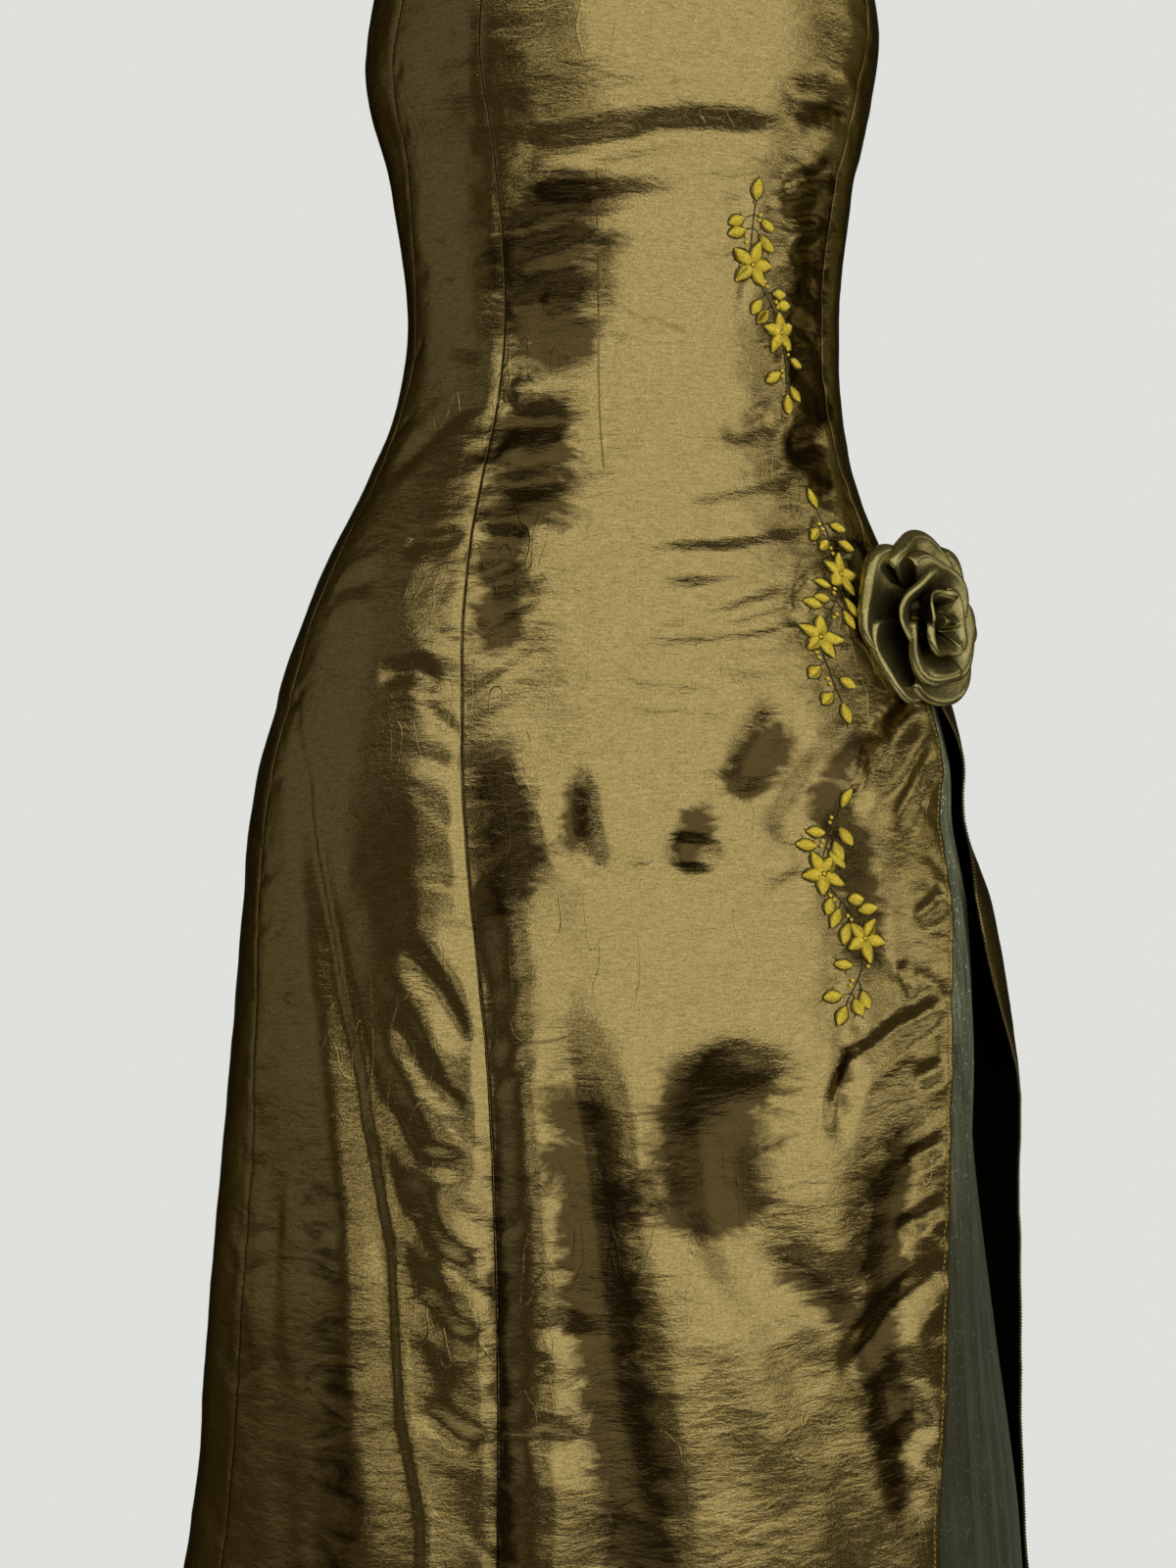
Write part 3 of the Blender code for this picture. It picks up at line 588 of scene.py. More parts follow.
def seam_groove(angle, z):
    """The fine groove of each seam and of the dart; the allowance lifts one side a little."""
    total = np.zeros(angle.shape)
    metres = np.radians(1.0) * reach(z) * 1000.0
    for column, foot, side in ((RIGHT_SIDE, HEM_Z, -1), (RIGHT_PRINCESS, HEM_Z, -1),
                               (FRONT_EDGE, SLIT_HEAD_Z, 1), (LEFT_SIDE, HEM_Z, 1)):
        away = turn_between(angle, seam(column, z)) * metres
        here = ease((z - foot) / 0.02 + 1.0)
        total += here * (-0.00022 * hump(away, 1.8) + 0.0002 * hump(away - side * 6.0, 4.5))
    away = turn_between(angle, curve(DART, 1, z)) * metres
    here = ease((z - DART_FOOT_Z) / 0.03) * ease((DART_HEAD_Z - z) / 0.03)
    return total + here * (-0.0003 * hump(away, 5.0))


def seam_distance(angle, z):
    """Distance in mm to the nearest seam."""
    metres = np.radians(1.0) * reach(z) * 1000.0
    lines = [np.abs(turn_between(angle, seam(column, z)) * metres)
             for column in (RIGHT_SIDE, RIGHT_PRINCESS, LEFT_SIDE)]
    above = np.clip((SLIT_HEAD_Z - z) * 1000.0, 0.0, 50.0)
    lines.append(np.abs(turn_between(angle, seam(FRONT_EDGE, z)) * metres) + above)
    return np.minimum.reduce(lines)


def dart_distance(angle, z):
    """Distance in mm to the dart's seam, to its left or right, and large past its ends."""
    metres = np.radians(1.0) * reach(z) * 1000.0
    past = 400.0 * (1 - ease((z - DART_FOOT_Z) / 0.02) * ease((DART_HEAD_Z - z) / 0.02))
    away = turn_between(angle, curve(DART, 1, z)) * metres
    return away + np.copysign(past, away)


def spray_stem(middle, head, length, lean, sway):
    """Four points of a double curve down the cloth; the two inner ones carry flowers."""
    shares = (0.0, 1 / 3, 2 / 3, 1.0)
    return tuple((middle + lean * (share - 0.5) + sway * math.sin(2 * math.pi * share),
                  head - length * share) for share in shares)


SPRAY_REACH = 0.95              # a degree of the front over one on the mean radius
PULL_REACH = 0.92               # the same, for the puckers round the flowers

# Three sprays of embroidery run down the panel by the slit, each about a hand's length. They
# are worked after the creases here, and pull the cloth up round them.
SPRAYS = (
    spray_stem(25.0, -0.110, 0.105, 12.0, -4.0),
    spray_stem(29.0, -0.280, 0.110, -8.0, 5.0),
    spray_stem(21.0, -0.448, 0.108, -4.0, -4.5),
)


def spray_pull(angle, z):
    """Puckers that stand out round each flower like spokes, uneven in height and length."""
    height = np.zeros(angle.shape)
    draw = random.Random(11)
    for stem in SPRAYS:
        for number, (flower_angle, flower_z) in enumerate(stem):
            metres = math.radians(1.0) * float(reach(flower_z)) * PULL_REACH
            across = turn_between(angle, flower_angle) * metres
            rise = z - flower_z
            away = np.hypot(across, rise)
            near = np.flatnonzero(away < 0.06)
            heading = np.arctan2(rise[near], across[near])
            away = away[near] * 1000.0
            height[near] -= 0.0006 * hump(away, 11.0)
            for _ in range(9):
                spoke = draw.uniform(-math.pi, math.pi)
                length = draw.uniform(14.0, 34.0)
                depth = draw.uniform(0.5, 1.3) * (1.0 if 0 < number < 3 else 0.7)
                off = np.abs((heading - spoke + math.pi) % (2 * math.pi) - math.pi) * away
                fade = ease((away - 5.0) / 6.0) * ease((length - away) / (0.6 * length))
                height[near] -= depth * 0.001 * fade * hump(off, 2.6)
    return height


def cloth_point(angle, z):
    """Points of the gown's outer face, creases and all."""
    form = np.broadcast(angle, z).shape
    angle, z = (np.broadcast_to(values, form).ravel() for values in (angle, z))
    height = (fold_height(angle, z) + crease_height(angle, z) + pucker_height(angle, z)
              + crumple_height(angle, z) + seam_groove(angle, z) + spray_pull(angle, z))
    places = plain_point(angle, z) + plan_normal(angle, z) * height[:, None]
    return places.reshape(form + (3,))


def top_edge(angle):
    """Height of the gown's top edge."""
    return curve(TOP_EDGE, 1, np.abs(turn_between(angle, 0.0)))


def seam_side(column, side):
    """A seam as a function of z, moved by half the seam gap to one side."""
    def boundary(z):
        """Plan angle of the panel's edge at a height."""
        return seam(column, z) + side * np.degrees(HALF_GAP / reach(z))
    return boundary


TURNED_EDGE = (
    # how far back from the fold each line of a turned-in edge lies, and how deep inside
    (-0.0004, 0.0010),
    (0.0003, 0.0020),
    (0.0050, 0.0021),
    (0.0120, 0.0021),
)


def spaced(count, crowding, turn_first, turn_last):
    """Lines of a panel's grid, as rows of: share of the way, back from the edge, depth."""
    share = np.linspace(0.0, 1.0, count + 1)
    share = (1 - crowding) * share + crowding * (1 - np.cos(np.pi * share)) / 2
    lines = [(value, 0.0, 0.0) for value in share]
    if turn_first:
        lines = [(0.0, back, deep) for back, deep in TURNED_EDGE[::-1]] + lines
    if turn_last:
        lines = lines + [(1.0, back, deep) for back, deep in TURNED_EDGE]
    return np.array(lines).T


def grid_mesh(name, columns, rows):
    """A flat grid mesh with a UV map, and each vertex's column and its row from the top."""
    form = bmesh.new()
    form.loops.layers.uv.new("cloth")
    bmesh.ops.create_grid(form, x_segments=columns, y_segments=rows, size=0.5, calc_uvs=True)
    mesh = bpy.data.meshes.new(name)
    form.to_mesh(mesh)
    form.free()
    places = np.empty(len(mesh.vertices) * 3)
    mesh.vertices.foreach_get("co", places)
    places = places.reshape(-1, 3)
    column = np.rint((places[:, 0] + 0.5) * columns).astype(int)
    row = np.rint((0.5 - places[:, 1]) * rows).astype(int)
    return mesh, column, row


def move_points(mesh, places):
    """Put a mesh's points at their places."""
    mesh.vertices.foreach_set("co", places.ravel())
    mesh.update()


def write_field(mesh, name, values):
    """Store a value for each point of a mesh, for its material to read."""
    mesh.attributes.new(name, "FLOAT", "POINT").data.foreach_set("value", values)


def show(name, mesh, material, body="gown", thickness=None):
    """Make a piece of a mesh, already in its place, and ride it on a body."""
    mesh.materials.append(material)
    mesh.shade_smooth()
    piece = bpy.data.objects.new(name, mesh)
    bpy.context.collection.objects.link(piece)
    if thickness:
        wall = piece.modifiers.new("cloth", "SOLIDIFY")
        wall.thickness = thickness
        wall.offset = -1.0
    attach(piece, body)
    return piece


def panel(node_name, start, end, columns, rows, turn_first=False, turn_last=False):
    """A panel of the gown as a thin shell on its solid's form. Its top edge and its hem are
    turned in, and so is a side edge that is said to be."""
    share, side_back, side_deep = spaced(columns, 0.5, turn_first, turn_last)
    fall, edge_back, edge_deep = spaced(rows, 0.0, True, True)
    mesh, column, row = grid_mesh(node_name + "_cloth", len(share) - 1, len(fall) - 1)
    share, side_back, side_deep = share[column], side_back[column], side_deep[column]
    fall, edge_back, edge_deep = fall[row] ** 1.08, edge_back[row], edge_deep[row]
    angle = start(0.0) + (end(0.0) - start(0.0)) * share
    for _ in range(6):
        z = top_edge(angle) + (HEM_Z - top_edge(angle)) * fall
        angle = start(z) + (end(z) - start(z)) * share
    z = z + np.where(fall < 0.5, -edge_back, edge_back)
    angle = angle + np.where(share < 0.5, 1, -1) * np.degrees(side_back / reach(z))
    deep = side_deep + edge_deep
    places = cloth_point(angle, z) - plan_normal(angle, z) * deep[:, None]
    move_points(mesh, places)
    # painted_fold_shade: how strongly the taffeta's colour is darkened along the dark folds,
    # painted shade
    for field, values in (("painted_fold_shade", worked(DARK_FOLDS, 0.0, angle, z)),
                          ("seam_distance", seam_distance(angle, z)),
                          ("dart_distance", dart_distance(angle, z))):
        write_field(mesh, field, values)
    piece = show(node_name + "_cloth", mesh, TAFFETA,
                 thickness=CLOTH_THICKNESS)
    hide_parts(node_name)
    return piece


def colour_ramp(tree, factor, low, low_hex, high, high_hex):
    """A ramp between two sRGB hex colours, each at its place along it."""
    ramp = node(tree, "ShaderNodeValToRGB", {"Fac": factor})
    for element, position, colour in zip(ramp.color_ramp.elements, (low, high),
                                         (low_hex, high_hex)):
        element.position = position
        element.color = srgb(colour)
    return ramp


def shot_taffeta(name, thread_hex, cross_hex):
    """Shot taffeta: plain weave of bright warp and dark weft, calendered crisp. It mirrors the
    light in broad sharp-edged patches, so it is a rough metal to the shader; the weave gives
    it fine horizontal ribs, and wear leaves a few thin creased lines."""
    material, tree, shader = new_material(name, Metallic=0.97, Roughness=0.16,
                                          Specular_Tint=srgb("#5C6340"),
                                          Sheen_Weight=0.06, Sheen_Roughness=0.4,
                                          Sheen_Tint=srgb("#5F6A4E"))
    place = node(tree, "ShaderNodeTexCoord").outputs["Object"]
    slub_place = node(tree, "ShaderNodeMapping", {"Vector": place}, scale=(160.0, 160.0, 1100.0))
    slub = node(tree, "ShaderNodeTexNoise", {"Vector": slub_place.outputs[0]}, scale=1.0,
                detail=3.0, roughness=0.6)
    grain = node(tree, "ShaderNodeTexNoise", {"Vector": place}, scale=1000.0, detail=2.0,
                 roughness=0.7)
    weave = node(tree, "ShaderNodeMix", {"A": slub.outputs[0], "B": grain.outputs[0]},
                 factor=0.6)
    ramp = colour_ramp(tree, weave.outputs[0], 0.34, cross_hex, 0.66, thread_hex)
    flame_place = node(tree, "ShaderNodeMapping", {"Vector": place}, scale=(24.0, 24.0, 62.0))
    flame = node(tree, "ShaderNodeTexNoise", {"Vector": flame_place.outputs[0]}, scale=1.0,
                 detail=8.0, roughness=0.68, distortion=0.9)
    uneven = node(tree, "ShaderNodeMapRange", {"Value": flame.outputs[0]}, from_min=0.3,
                  from_max=0.7, to_min=0.12, to_max=0.88)
    # Painted shade: along the dark folds the base colour is mixed towards deep brown, with ragged
    # edges from the noise; the seam and dart lines are darkened with the same colour.
    folded = node(tree, "ShaderNodeAttribute", attribute_name="painted_fold_shade")
    ragged = node(tree, "ShaderNodeMath", {"Value": folded.outputs["Fac"]},
                  operation="MULTIPLY_ADD")
    ragged.inputs[1].default_value = 0.40
    tree.links.new(uneven.outputs[0], ragged.inputs[2])
    dark = node(tree, "ShaderNodeMapRange", {"Value": ragged.outputs[0]}, from_min=0.74,
                from_max=1.04, to_min=0.0, to_max=0.88)
    seamed = node(tree, "ShaderNodeAttribute", attribute_name="seam_distance")
    seam_line = node(tree, "ShaderNodeMapRange", {"Value": seamed.outputs["Fac"]},
                     from_min=0.35, from_max=0.9, to_min=0.8, to_max=0.0)
    darted = node(tree, "ShaderNodeAttribute", attribute_name="dart_distance")
    beside = node(tree, "ShaderNodeMath", {"Value": darted.outputs["Fac"]},
                  operation="ABSOLUTE")
    dart_line = node(tree, "ShaderNodeMapRange", {"Value": beside.outputs[0]},
                     from_min=0.2, from_max=0.8, to_min=0.62, to_max=0.0)
    sewn = node(tree, "ShaderNodeMath", {"Value": seam_line.outputs[0]}, operation="MAXIMUM")
    tree.links.new(dart_line.outputs[0], sewn.inputs[1])
    most = node(tree, "ShaderNodeMath", {"Value": dark.outputs[0]}, operation="MAXIMUM")
    tree.links.new(sewn.outputs[0], most.inputs[1])
    painted_shade_and_seams = node(tree, "ShaderNodeMix", {"Factor": most.outputs[0]}, data_type="RGBA")
    tree.links.new(ramp.outputs[0], painted_shade_and_seams.inputs[6])
    painted_shade_and_seams.inputs[7].default_value = srgb("#42341A")
    tree.links.new(painted_shade_and_seams.outputs[2], shader.inputs["Base Color"])
    streak_place = node(tree, "ShaderNodeMapping", {"Vector": place}, scale=(45.0, 45.0, 130.0))
    streak = node(tree, "ShaderNodeTexNoise", {"Vector": streak_place.outputs[0]}, scale=1.0,
                  detail=4.0, roughness=0.6, distortion=0.3)
    line_place = node(tree, "ShaderNodeMapping", {"Vector": place}, scale=(60.0, 60.0, 14.0))
    lines = node(tree, "ShaderNodeTexNoise", {"Vector": line_place.outputs[0]}, scale=1.0,
                 detail=1.0, roughness=0.5, distortion=0.2)
    middle = node(tree, "ShaderNodeMath", {"Value": lines.outputs[0]}, operation="SUBTRACT")
    middle.inputs[1].default_value = 0.5
    away = node(tree, "ShaderNodeMath", {"Value": middle.outputs[0]}, operation="ABSOLUTE")
    thin = node(tree, "ShaderNodeMapRange", {"Value": away.outputs[0]}, from_min=0.0,
                from_max=0.010, to_min=1.0, to_max=0.0)
    worn = node(tree, "ShaderNodeTexNoise", {"Vector": place}, scale=16.0, detail=1.0)
    where = node(tree, "ShaderNodeMapRange", {"Value": worn.outputs[0]}, from_min=0.52,
                 from_max=0.62, to_min=0.0, to_max=1.0)
    creased = node(tree, "ShaderNodeMath", {"Value": thin.outputs[0]}, operation="MULTIPLY")
    tree.links.new(where.outputs[0], creased.inputs[1])
    weave_bump = node(tree, "ShaderNodeBump", {"Height": weave.outputs[0]}, strength=0.6,
                      distance=0.0003)
    streak_bump = node(tree, "ShaderNodeBump", {"Height": streak.outputs[0],
                                                "Normal": weave_bump.outputs[0]},
                       strength=0.8, distance=0.0008)
    line_bump = node(tree, "ShaderNodeBump", {"Height": creased.outputs[0],
                                              "Normal": streak_bump.outputs[0]},
                     strength=0.35, distance=0.0004)
    tree.links.new(line_bump.outputs[0], shader.inputs["Normal"])
    return material


TAFFETA = shot_taffeta("bronze_shot_taffeta", "#C4B078", "#8C7940")
front = panel("front_centre", seam_side(RIGHT_PRINCESS, 1), seam_side(FRONT_EDGE, -1),
              100, 400, turn_last=True)

# --- Right side front -----------------------------------------------------------------------
# The panel between the right side seam and the right princess seam. One long fold runs down it
# from the hip towards the front, and the princess seam throws short flames of light into it.

side_front_right = panel("side_front_right", seam_side(RIGHT_SIDE, 1),
                         seam_side(RIGHT_PRINCESS, -1), 72, 390)

# --- Left side front ------------------------------------------------------------------------
# The panel behind the slit, between its free, overcast edge and the left side seam.

side_front_left = panel("side_front_left", seam_side(FREE_EDGE, 1), seam_side(LEFT_SIDE, -1),
                        44, 340)

# --- Backs ----------------------------------------------------------------------------------
# Two plain backs with a scooped top edge, joined by the zip and the seam below it.


def back_seam(side):
    """The centre-back seam as a function of z, moved by half the seam gap to one side."""
    def boundary(z):
        """Plan angle of the panel's edge at a height."""
        return side * (180.0 - np.degrees(HALF_GAP / reach(z)))
    return boundary


back_right = panel("back_right", back_seam(-1), seam_side(RIGHT_SIDE, -1), 80, 270)
back_left = panel("back_left", seam_side(LEFT_SIDE, 1), back_seam(1), 70, 270)

# --- Seam allowances ------------------------------------------------------------------------
# Inside each seam the panels' allowances lie pressed open, 9 mm to either side, and close the
# seam from behind.

ALLOWANCE = 0.009
ALLOWANCE_DEPTH = 0.0016             # from the cloth's outer face
ALLOWANCE_THICKNESS = 0.0004
ALLOWANCE_ROW = 0.0045
ALLOWANCE_STOPS = 0.014              # short of the top edge and of the hem
ALLOWANCE_FOOT_Z = HEM_Z + ALLOWANCE_STOPS
SLIT_SEAM_FOOT_Z = -0.312            # the front seam is sewn down to just above the slit
FAR_FROM_SEAMS = 9.0                 # mm, so that no seam line is drawn on an allowance
BELOW_ZIP_Z = -0.338                 # where the zip's tape ends and the back seam is sewn
CENTRE_BACK = None                   # its seam runs straight down, so it has no column


def sewn_angle(column, z):
    """Plan angle of a sewn seam, centre back included."""
    return np.full(np.shape(z), 180.0) if column is CENTRE_BACK else seam(column, z)


for name, seam_column, foot in (("right_side", RIGHT_SIDE, ALLOWANCE_FOOT_Z),
                                ("right_princess", RIGHT_PRINCESS, ALLOWANCE_FOOT_Z),
                                ("left_front", FRONT_EDGE, SLIT_SEAM_FOOT_Z),
                                ("left_side", LEFT_SIDE, ALLOWANCE_FOOT_Z),
                                ("centre_back", CENTRE_BACK, ALLOWANCE_FOOT_Z)):
    if seam_column is CENTRE_BACK:
        head = BELOW_ZIP_Z
    else:
        head = float(top_edge(np.array(seam(seam_column, 0.09)))) - ALLOWANCE_STOPS
    rows = int((head - foot) / ALLOWANCE_ROW)
    mesh, column, row = grid_mesh(name + "_seam_allowance", 4, rows)
    z = head + (foot - head) * row / rows
    angle = sewn_angle(seam_column, z) + np.degrees(ALLOWANCE * (column / 2.0 - 1) / reach(z))
    angle = (angle + 180.0) % 360.0 - 180.0
    places = cloth_point(angle, z) - plan_normal(angle, z) * ALLOWANCE_DEPTH
    move_points(mesh, places)
    for field in ("seam_distance", "dart_distance"):
        write_field(mesh, field, np.full(len(z), FAR_FROM_SEAMS))
    strip = show(name + "_seam_allowance", mesh, TAFFETA,
                 thickness=ALLOWANCE_THICKNESS)

# --- Slit underlay --------------------------------------------------------------------------
# A length of grey-green glittered organza satin hung from the head of the slit, behind it. It
# shows as a narrow strip beside the front panel's edge. Its colour darkens from z -0.46 m down to
# -0.72 m, painted shade for the inside of the slit, so it looks lit near the top.

UNDERLAY_TOP_Z = -0.375
UNDERLAY_HEM_Z = -1.190
UNDERLAY_ANGLES = (22.0, 104.0)
UNDERLAY_FRONT_INSET = 0.0045
UNDERLAY_CLEARANCE = 0.0015          # from the deepest folds of the cloth over it
UNDERLAY_THICKNESS = 0.0007
UNDERLAY_INSET = (
    # z,      how far it hangs inside the outer cloth at its back part
    (-0.370, 0.009),
    (-0.410, 0.012),
    (-0.460, 0.008),
    (-0.520, 0.018),
    (-0.590, 0.026),
    (-0.640, 0.029),
    (-0.700, 0.024),
    (-0.760, 0.017),
    (-0.820, 0.010),
    (-0.880, 0.007),
    (-1.190, 0.009),
)


def glitter_organza(name):
    """Grey-green organza over satin, crinkled lengthwise, with pin-point glitter in it."""
    material, tree, shader = new_material(name, Metallic=0.35, Roughness=0.38,
                                          Sheen_Weight=0.25, Sheen_Roughness=0.5,
                                          Sheen_Tint=srgb("#8C9080"))
    place = node(tree, "ShaderNodeTexCoord").outputs["Object"]
    long_place = node(tree, "ShaderNodeMapping", {"Vector": place}, scale=(260.0, 260.0, 16.0))
    crinkle = node(tree, "ShaderNodeTexNoise", {"Vector": long_place.outputs[0]}, scale=1.0,
                   detail=4.0, roughness=0.6)
    cloud_place = node(tree, "ShaderNodeMapping", {"Vector": place}, scale=(60.0, 60.0, 22.0))
    cloud = node(tree, "ShaderNodeTexNoise", {"Vector": cloud_place.outputs[0]}, scale=1.0,
                 detail=4.0, roughness=0.65)
    both = node(tree, "ShaderNodeMix", {"A": crinkle.outputs[0], "B": cloud.outputs[0]},
                factor=0.5)
    ramp = colour_ramp(tree, both.outputs[0], 0.36, "#3E412A", 0.66, "#9A9E78")
    cells = node(tree, "ShaderNodeTexVoronoi", {"Vector": place}, scale=1100.0)
    chance = node(tree, "ShaderNodeSeparateColor", {"Color": cells.outputs["Color"]})
    chosen = node(tree, "ShaderNodeMapRange", {"Value": chance.outputs[0]}, from_min=0.955,
                  from_max=0.96, to_min=0.0, to_max=1.0)
    glitter = node(tree, "ShaderNodeMix", {"Factor": chosen.outputs[0]}, data_type="RGBA")
    glitter.inputs[7].default_value = srgb("#D7DCC8")
    # Painted shade: below z -0.46 m the colour is mixed towards dark olive, fully so by -0.72 m,
    # for the shade inside the slit.
    drop = node(tree, "ShaderNodeSeparateXYZ", {"Vector": place})
    fall = node(tree, "ShaderNodeMapRange", {"Value": drop.outputs["Z"]}, from_min=-0.46,
                from_max=-0.72, to_min=0.0, to_max=0.82)
    slit_shade_mix = node(tree, "ShaderNodeMix", {"Factor": fall.outputs[0]}, data_type="RGBA")
    tree.links.new(ramp.outputs[0], glitter.inputs[6])
    tree.links.new(glitter.outputs[2], slit_shade_mix.inputs[6])
    slit_shade_mix.inputs[7].default_value = srgb("#2E311E")
    tree.links.new(slit_shade_mix.outputs[2], shader.inputs["Base Color"])
    bump = node(tree, "ShaderNodeBump", {"Height": crinkle.outputs[0]}, strength=0.6,
                distance=0.0012)
    tree.links.new(bump.outputs[0], shader.inputs["Normal"])
    return material


UNDERLAY_COLUMNS, UNDERLAY_ROWS = 56, 240
mesh, column, row = grid_mesh("slit_underlay_cloth", UNDERLAY_COLUMNS, UNDERLAY_ROWS)
angle = np.interp(column, (0, UNDERLAY_COLUMNS), UNDERLAY_ANGLES)
z = np.interp(row, (0, UNDERLAY_ROWS), (UNDERLAY_TOP_Z, UNDERLAY_HEM_Z))
swing = ease((angle - seam(FRONT_EDGE, z)) / 30.0)
inset = UNDERLAY_FRONT_INSET + (curve(UNDERLAY_INSET, 1, z) - UNDERLAY_FRONT_INSET) * swing
pleats = 0.0011 * np.sin(angle * 0.9 + 5.0 * z) + 0.0007 * np.sin(angle * 2.3 - 9.0 * z + 1.0)
pleats = pleats * ease((angle - seam(FRONT_EDGE, z) + 2.0) / 8.0)
height = (np.minimum(fold_height(angle, z), 0.0)
          + np.minimum(crease_height(angle, z), 0.0) - inset - UNDERLAY_CLEARANCE + pleats)
places = plain_point(angle, z) + plan_normal(angle, z) * height[:, None]
move_points(mesh, places)
underlay = show("slit_underlay_cloth", mesh, glitter_organza("glittered_green_organza"),
                thickness=UNDERLAY_THICKNESS)
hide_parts("slit_underlay")

# --- Stitching ------------------------------------------------------------------------------
# The slit edge is topstitched in gold thread 4 mm from its fold. The free edge behind the slit
# is overcast in dull olive thread.

STITCH_LENGTH = 0.0026
STITCH_PITCH = 0.0033
STITCH_SET_BACK = 0.0042             # from the fold of the turned edge
STITCH_RADIUS = 0.00036
OVERCAST_PITCH = 0.0019
OVERCAST_RADIUS = 0.00034
OVERCAST_START = 0.03                # below the slit head


def thread_mesh(name, strands, radius, sides=5):
    """Short lengths of thread as one mesh: each strand is a list of points, tapered at its
    ends into the cloth."""
    form = bmesh.new()
    for strand in strands:
        points = [Vector(point) for point in strand]
        rings = []
        for number, point in enumerate(points):
            ahead = points[min(number + 1, len(points) - 1)]
            behind = points[max(number - 1, 0)]
            along = (ahead - behind).normalized()
            side = along.orthogonal().normalized()
            other = along.cross(side)
            end = number in (0, len(points) - 1)
            size = radius * (0.45 if end else 1.0)
            ring = []
            for corner in range(sides):
                turn = 2 * math.pi * corner / sides
                ring.append(form.verts.new(point + side * (size * math.cos(turn))
                                           + other * (size * math.sin(turn))))
            rings.append(ring)
        for low, high in zip(rings, rings[1:]):
            for corner in range(sides):
                following = (corner + 1) % sides
                form.faces.new((low[corner], low[following], high[following], high[corner]))
        form.faces.new(rings[0][::-1])
        form.faces.new(rings[-1])
    mesh = bpy.data.meshes.new(name)
    form.to_mesh(mesh)
    form.free()
    return mesh


def twisted_thread(name, light_hex, dark_hex, roughness, gloss=0.15):
    """Mercerised or rayon thread: soft gloss, with a fine twist of lighter and darker ply."""
    material, tree, shader = new_material(name, Metallic=gloss, Roughness=roughness,
                                          Sheen_Weight=0.25, Sheen_Roughness=0.35,
                                          Sheen_Tint=srgb(light_hex))
    place = node(tree, "ShaderNodeTexCoord").outputs["Object"]
    ply = node(tree, "ShaderNodeTexNoise", {"Vector": place}, scale=1400.0, detail=2.0)
    ramp = colour_ramp(tree, ply.outputs[0], 0.38, dark_hex, 0.62, light_hex)
    tree.links.new(ramp.outputs[0], shader.inputs["Base Color"])
    bump = node(tree, "ShaderNodeBump", {"Height": ply.outputs[0]}, strength=0.5,
                distance=0.0003)
    tree.links.new(bump.outputs[0], shader.inputs["Normal"])
    return material


def on_cloth(angle, z, off):
    """Points a distance off the outer face, as a list of tuples."""
    angle, z = np.asarray(angle, float), np.asarray(z, float)
    places = cloth_point(angle, z) + plan_normal(angle, z) * np.asarray(off, float)[..., None]
    return places


GOLD_THREAD = twisted_thread("gold_polyester_thread", "#C2A65A", "#8A6F34", 0.45)
OLIVE_THREAD = twisted_thread("olive_overcast_thread", "#6F6548", "#4A422C", 0.6)
count = int((SLIT_HEAD_Z - 0.015 - HEM_Z) / STITCH_PITCH)
middles = SLIT_HEAD_Z - 0.012 - STITCH_PITCH * np.arange(count)
parts = np.array((-0.5, -0.2, 0.2, 0.5)) * STITCH_LENGTH
stitch_z = middles[:, None] + parts[None, :]
stitch_angle = seam(FRONT_EDGE, stitch_z) - np.degrees(STITCH_SET_BACK / reach(stitch_z))
lift = np.array((-0.00010, 0.00022, 0.00022, -0.00010))[None, :] + 0 * stitch_z
mesh = thread_mesh("slit_topstitching", on_cloth(stitch_angle, stitch_z, lift),
                   STITCH_RADIUS)
show("slit_topstitching", mesh, GOLD_THREAD)

count = int((SLIT_HEAD_Z - OVERCAST_START - HEM_Z) / OVERCAST_PITCH)
middles = SLIT_HEAD_Z - OVERCAST_START - OVERCAST_PITCH * np.arange(count)
back = np.array((0.0042, 0.0020, 0.0, -0.0004, 0.0, 0.0020, 0.0042))
lift = np.array((0.0001, 0.00025, 0.0003, -0.0005, -0.0012, -0.0012, -0.0010))
slant = np.array((0.0008, 0.0004, 0.0, 0.0, 0.0, -0.0004, -0.0008))
loop_z = middles[:, None] + slant[None, :]
loop_angle = seam(FREE_EDGE, loop_z) + np.degrees(back[None, :] / reach(loop_z))
mesh = thread_mesh("free_edge_overcasting", on_cloth(loop_angle, loop_z, lift + 0 * loop_z),
                   OVERCAST_RADIUS, sides=4)
show("free_edge_overcasting", mesh, OLIVE_THREAD)

# --- Embroidery -----------------------------------------------------------------------------
# Three sprays of five-petalled flowers, leaves and knots in glossy yellow-gold rayon, worked in
# raised satin stitch: each petal is a row of threads laid side by side over padding.

FLOWER_PETAL = (0.0122, 0.0076)      # length and greatest width
LEAF = (0.0116, 0.0070)
THREAD_SPACING = 0.00060
THREAD_RADIUS = 0.00034
STEM_RADIUS = 0.00040
KNOT_RADIUS = 0.00105
PADDING = 0.0019                     # height of a petal's middle over the cloth
STEM_STEPS = 60
LEAVES = 15                          # places for a leaf along a stem


def edge_stitches(foot, heading, size, draw):
    """The dark thread that outlines a petal or leaf, and short stitches that stray from it."""
    length, width = size
    along = Vector((math.cos(heading), math.sin(heading)))
    side = Vector((-along.y, along.x))
    rim = []
    for number in range(15):
        turn = 2 * math.pi * number / 14
        share = 0.5 - 0.5 * math.cos(turn)
        half = width / 2 * math.sin(math.pi * share) ** 0.8 + 0.0002
        place = Vector(foot) + along * (length * share)
        place += side * math.copysign(half, math.sin(turn))
        rim.append((place.x, place.y, 0.0003))
    strands = [rim[:8], rim[7:]]
    for _ in range(3):
        start = Vector(rim[draw.randrange(15)][:2])
        out = (start - Vector(foot) - along * (length / 2)).normalized()
        stop = start + out * draw.uniform(0.0012, 0.0030)
        strands.append([(start.x, start.y, 0.0004), (stop.x, stop.y, 0.0002)])
    return strands


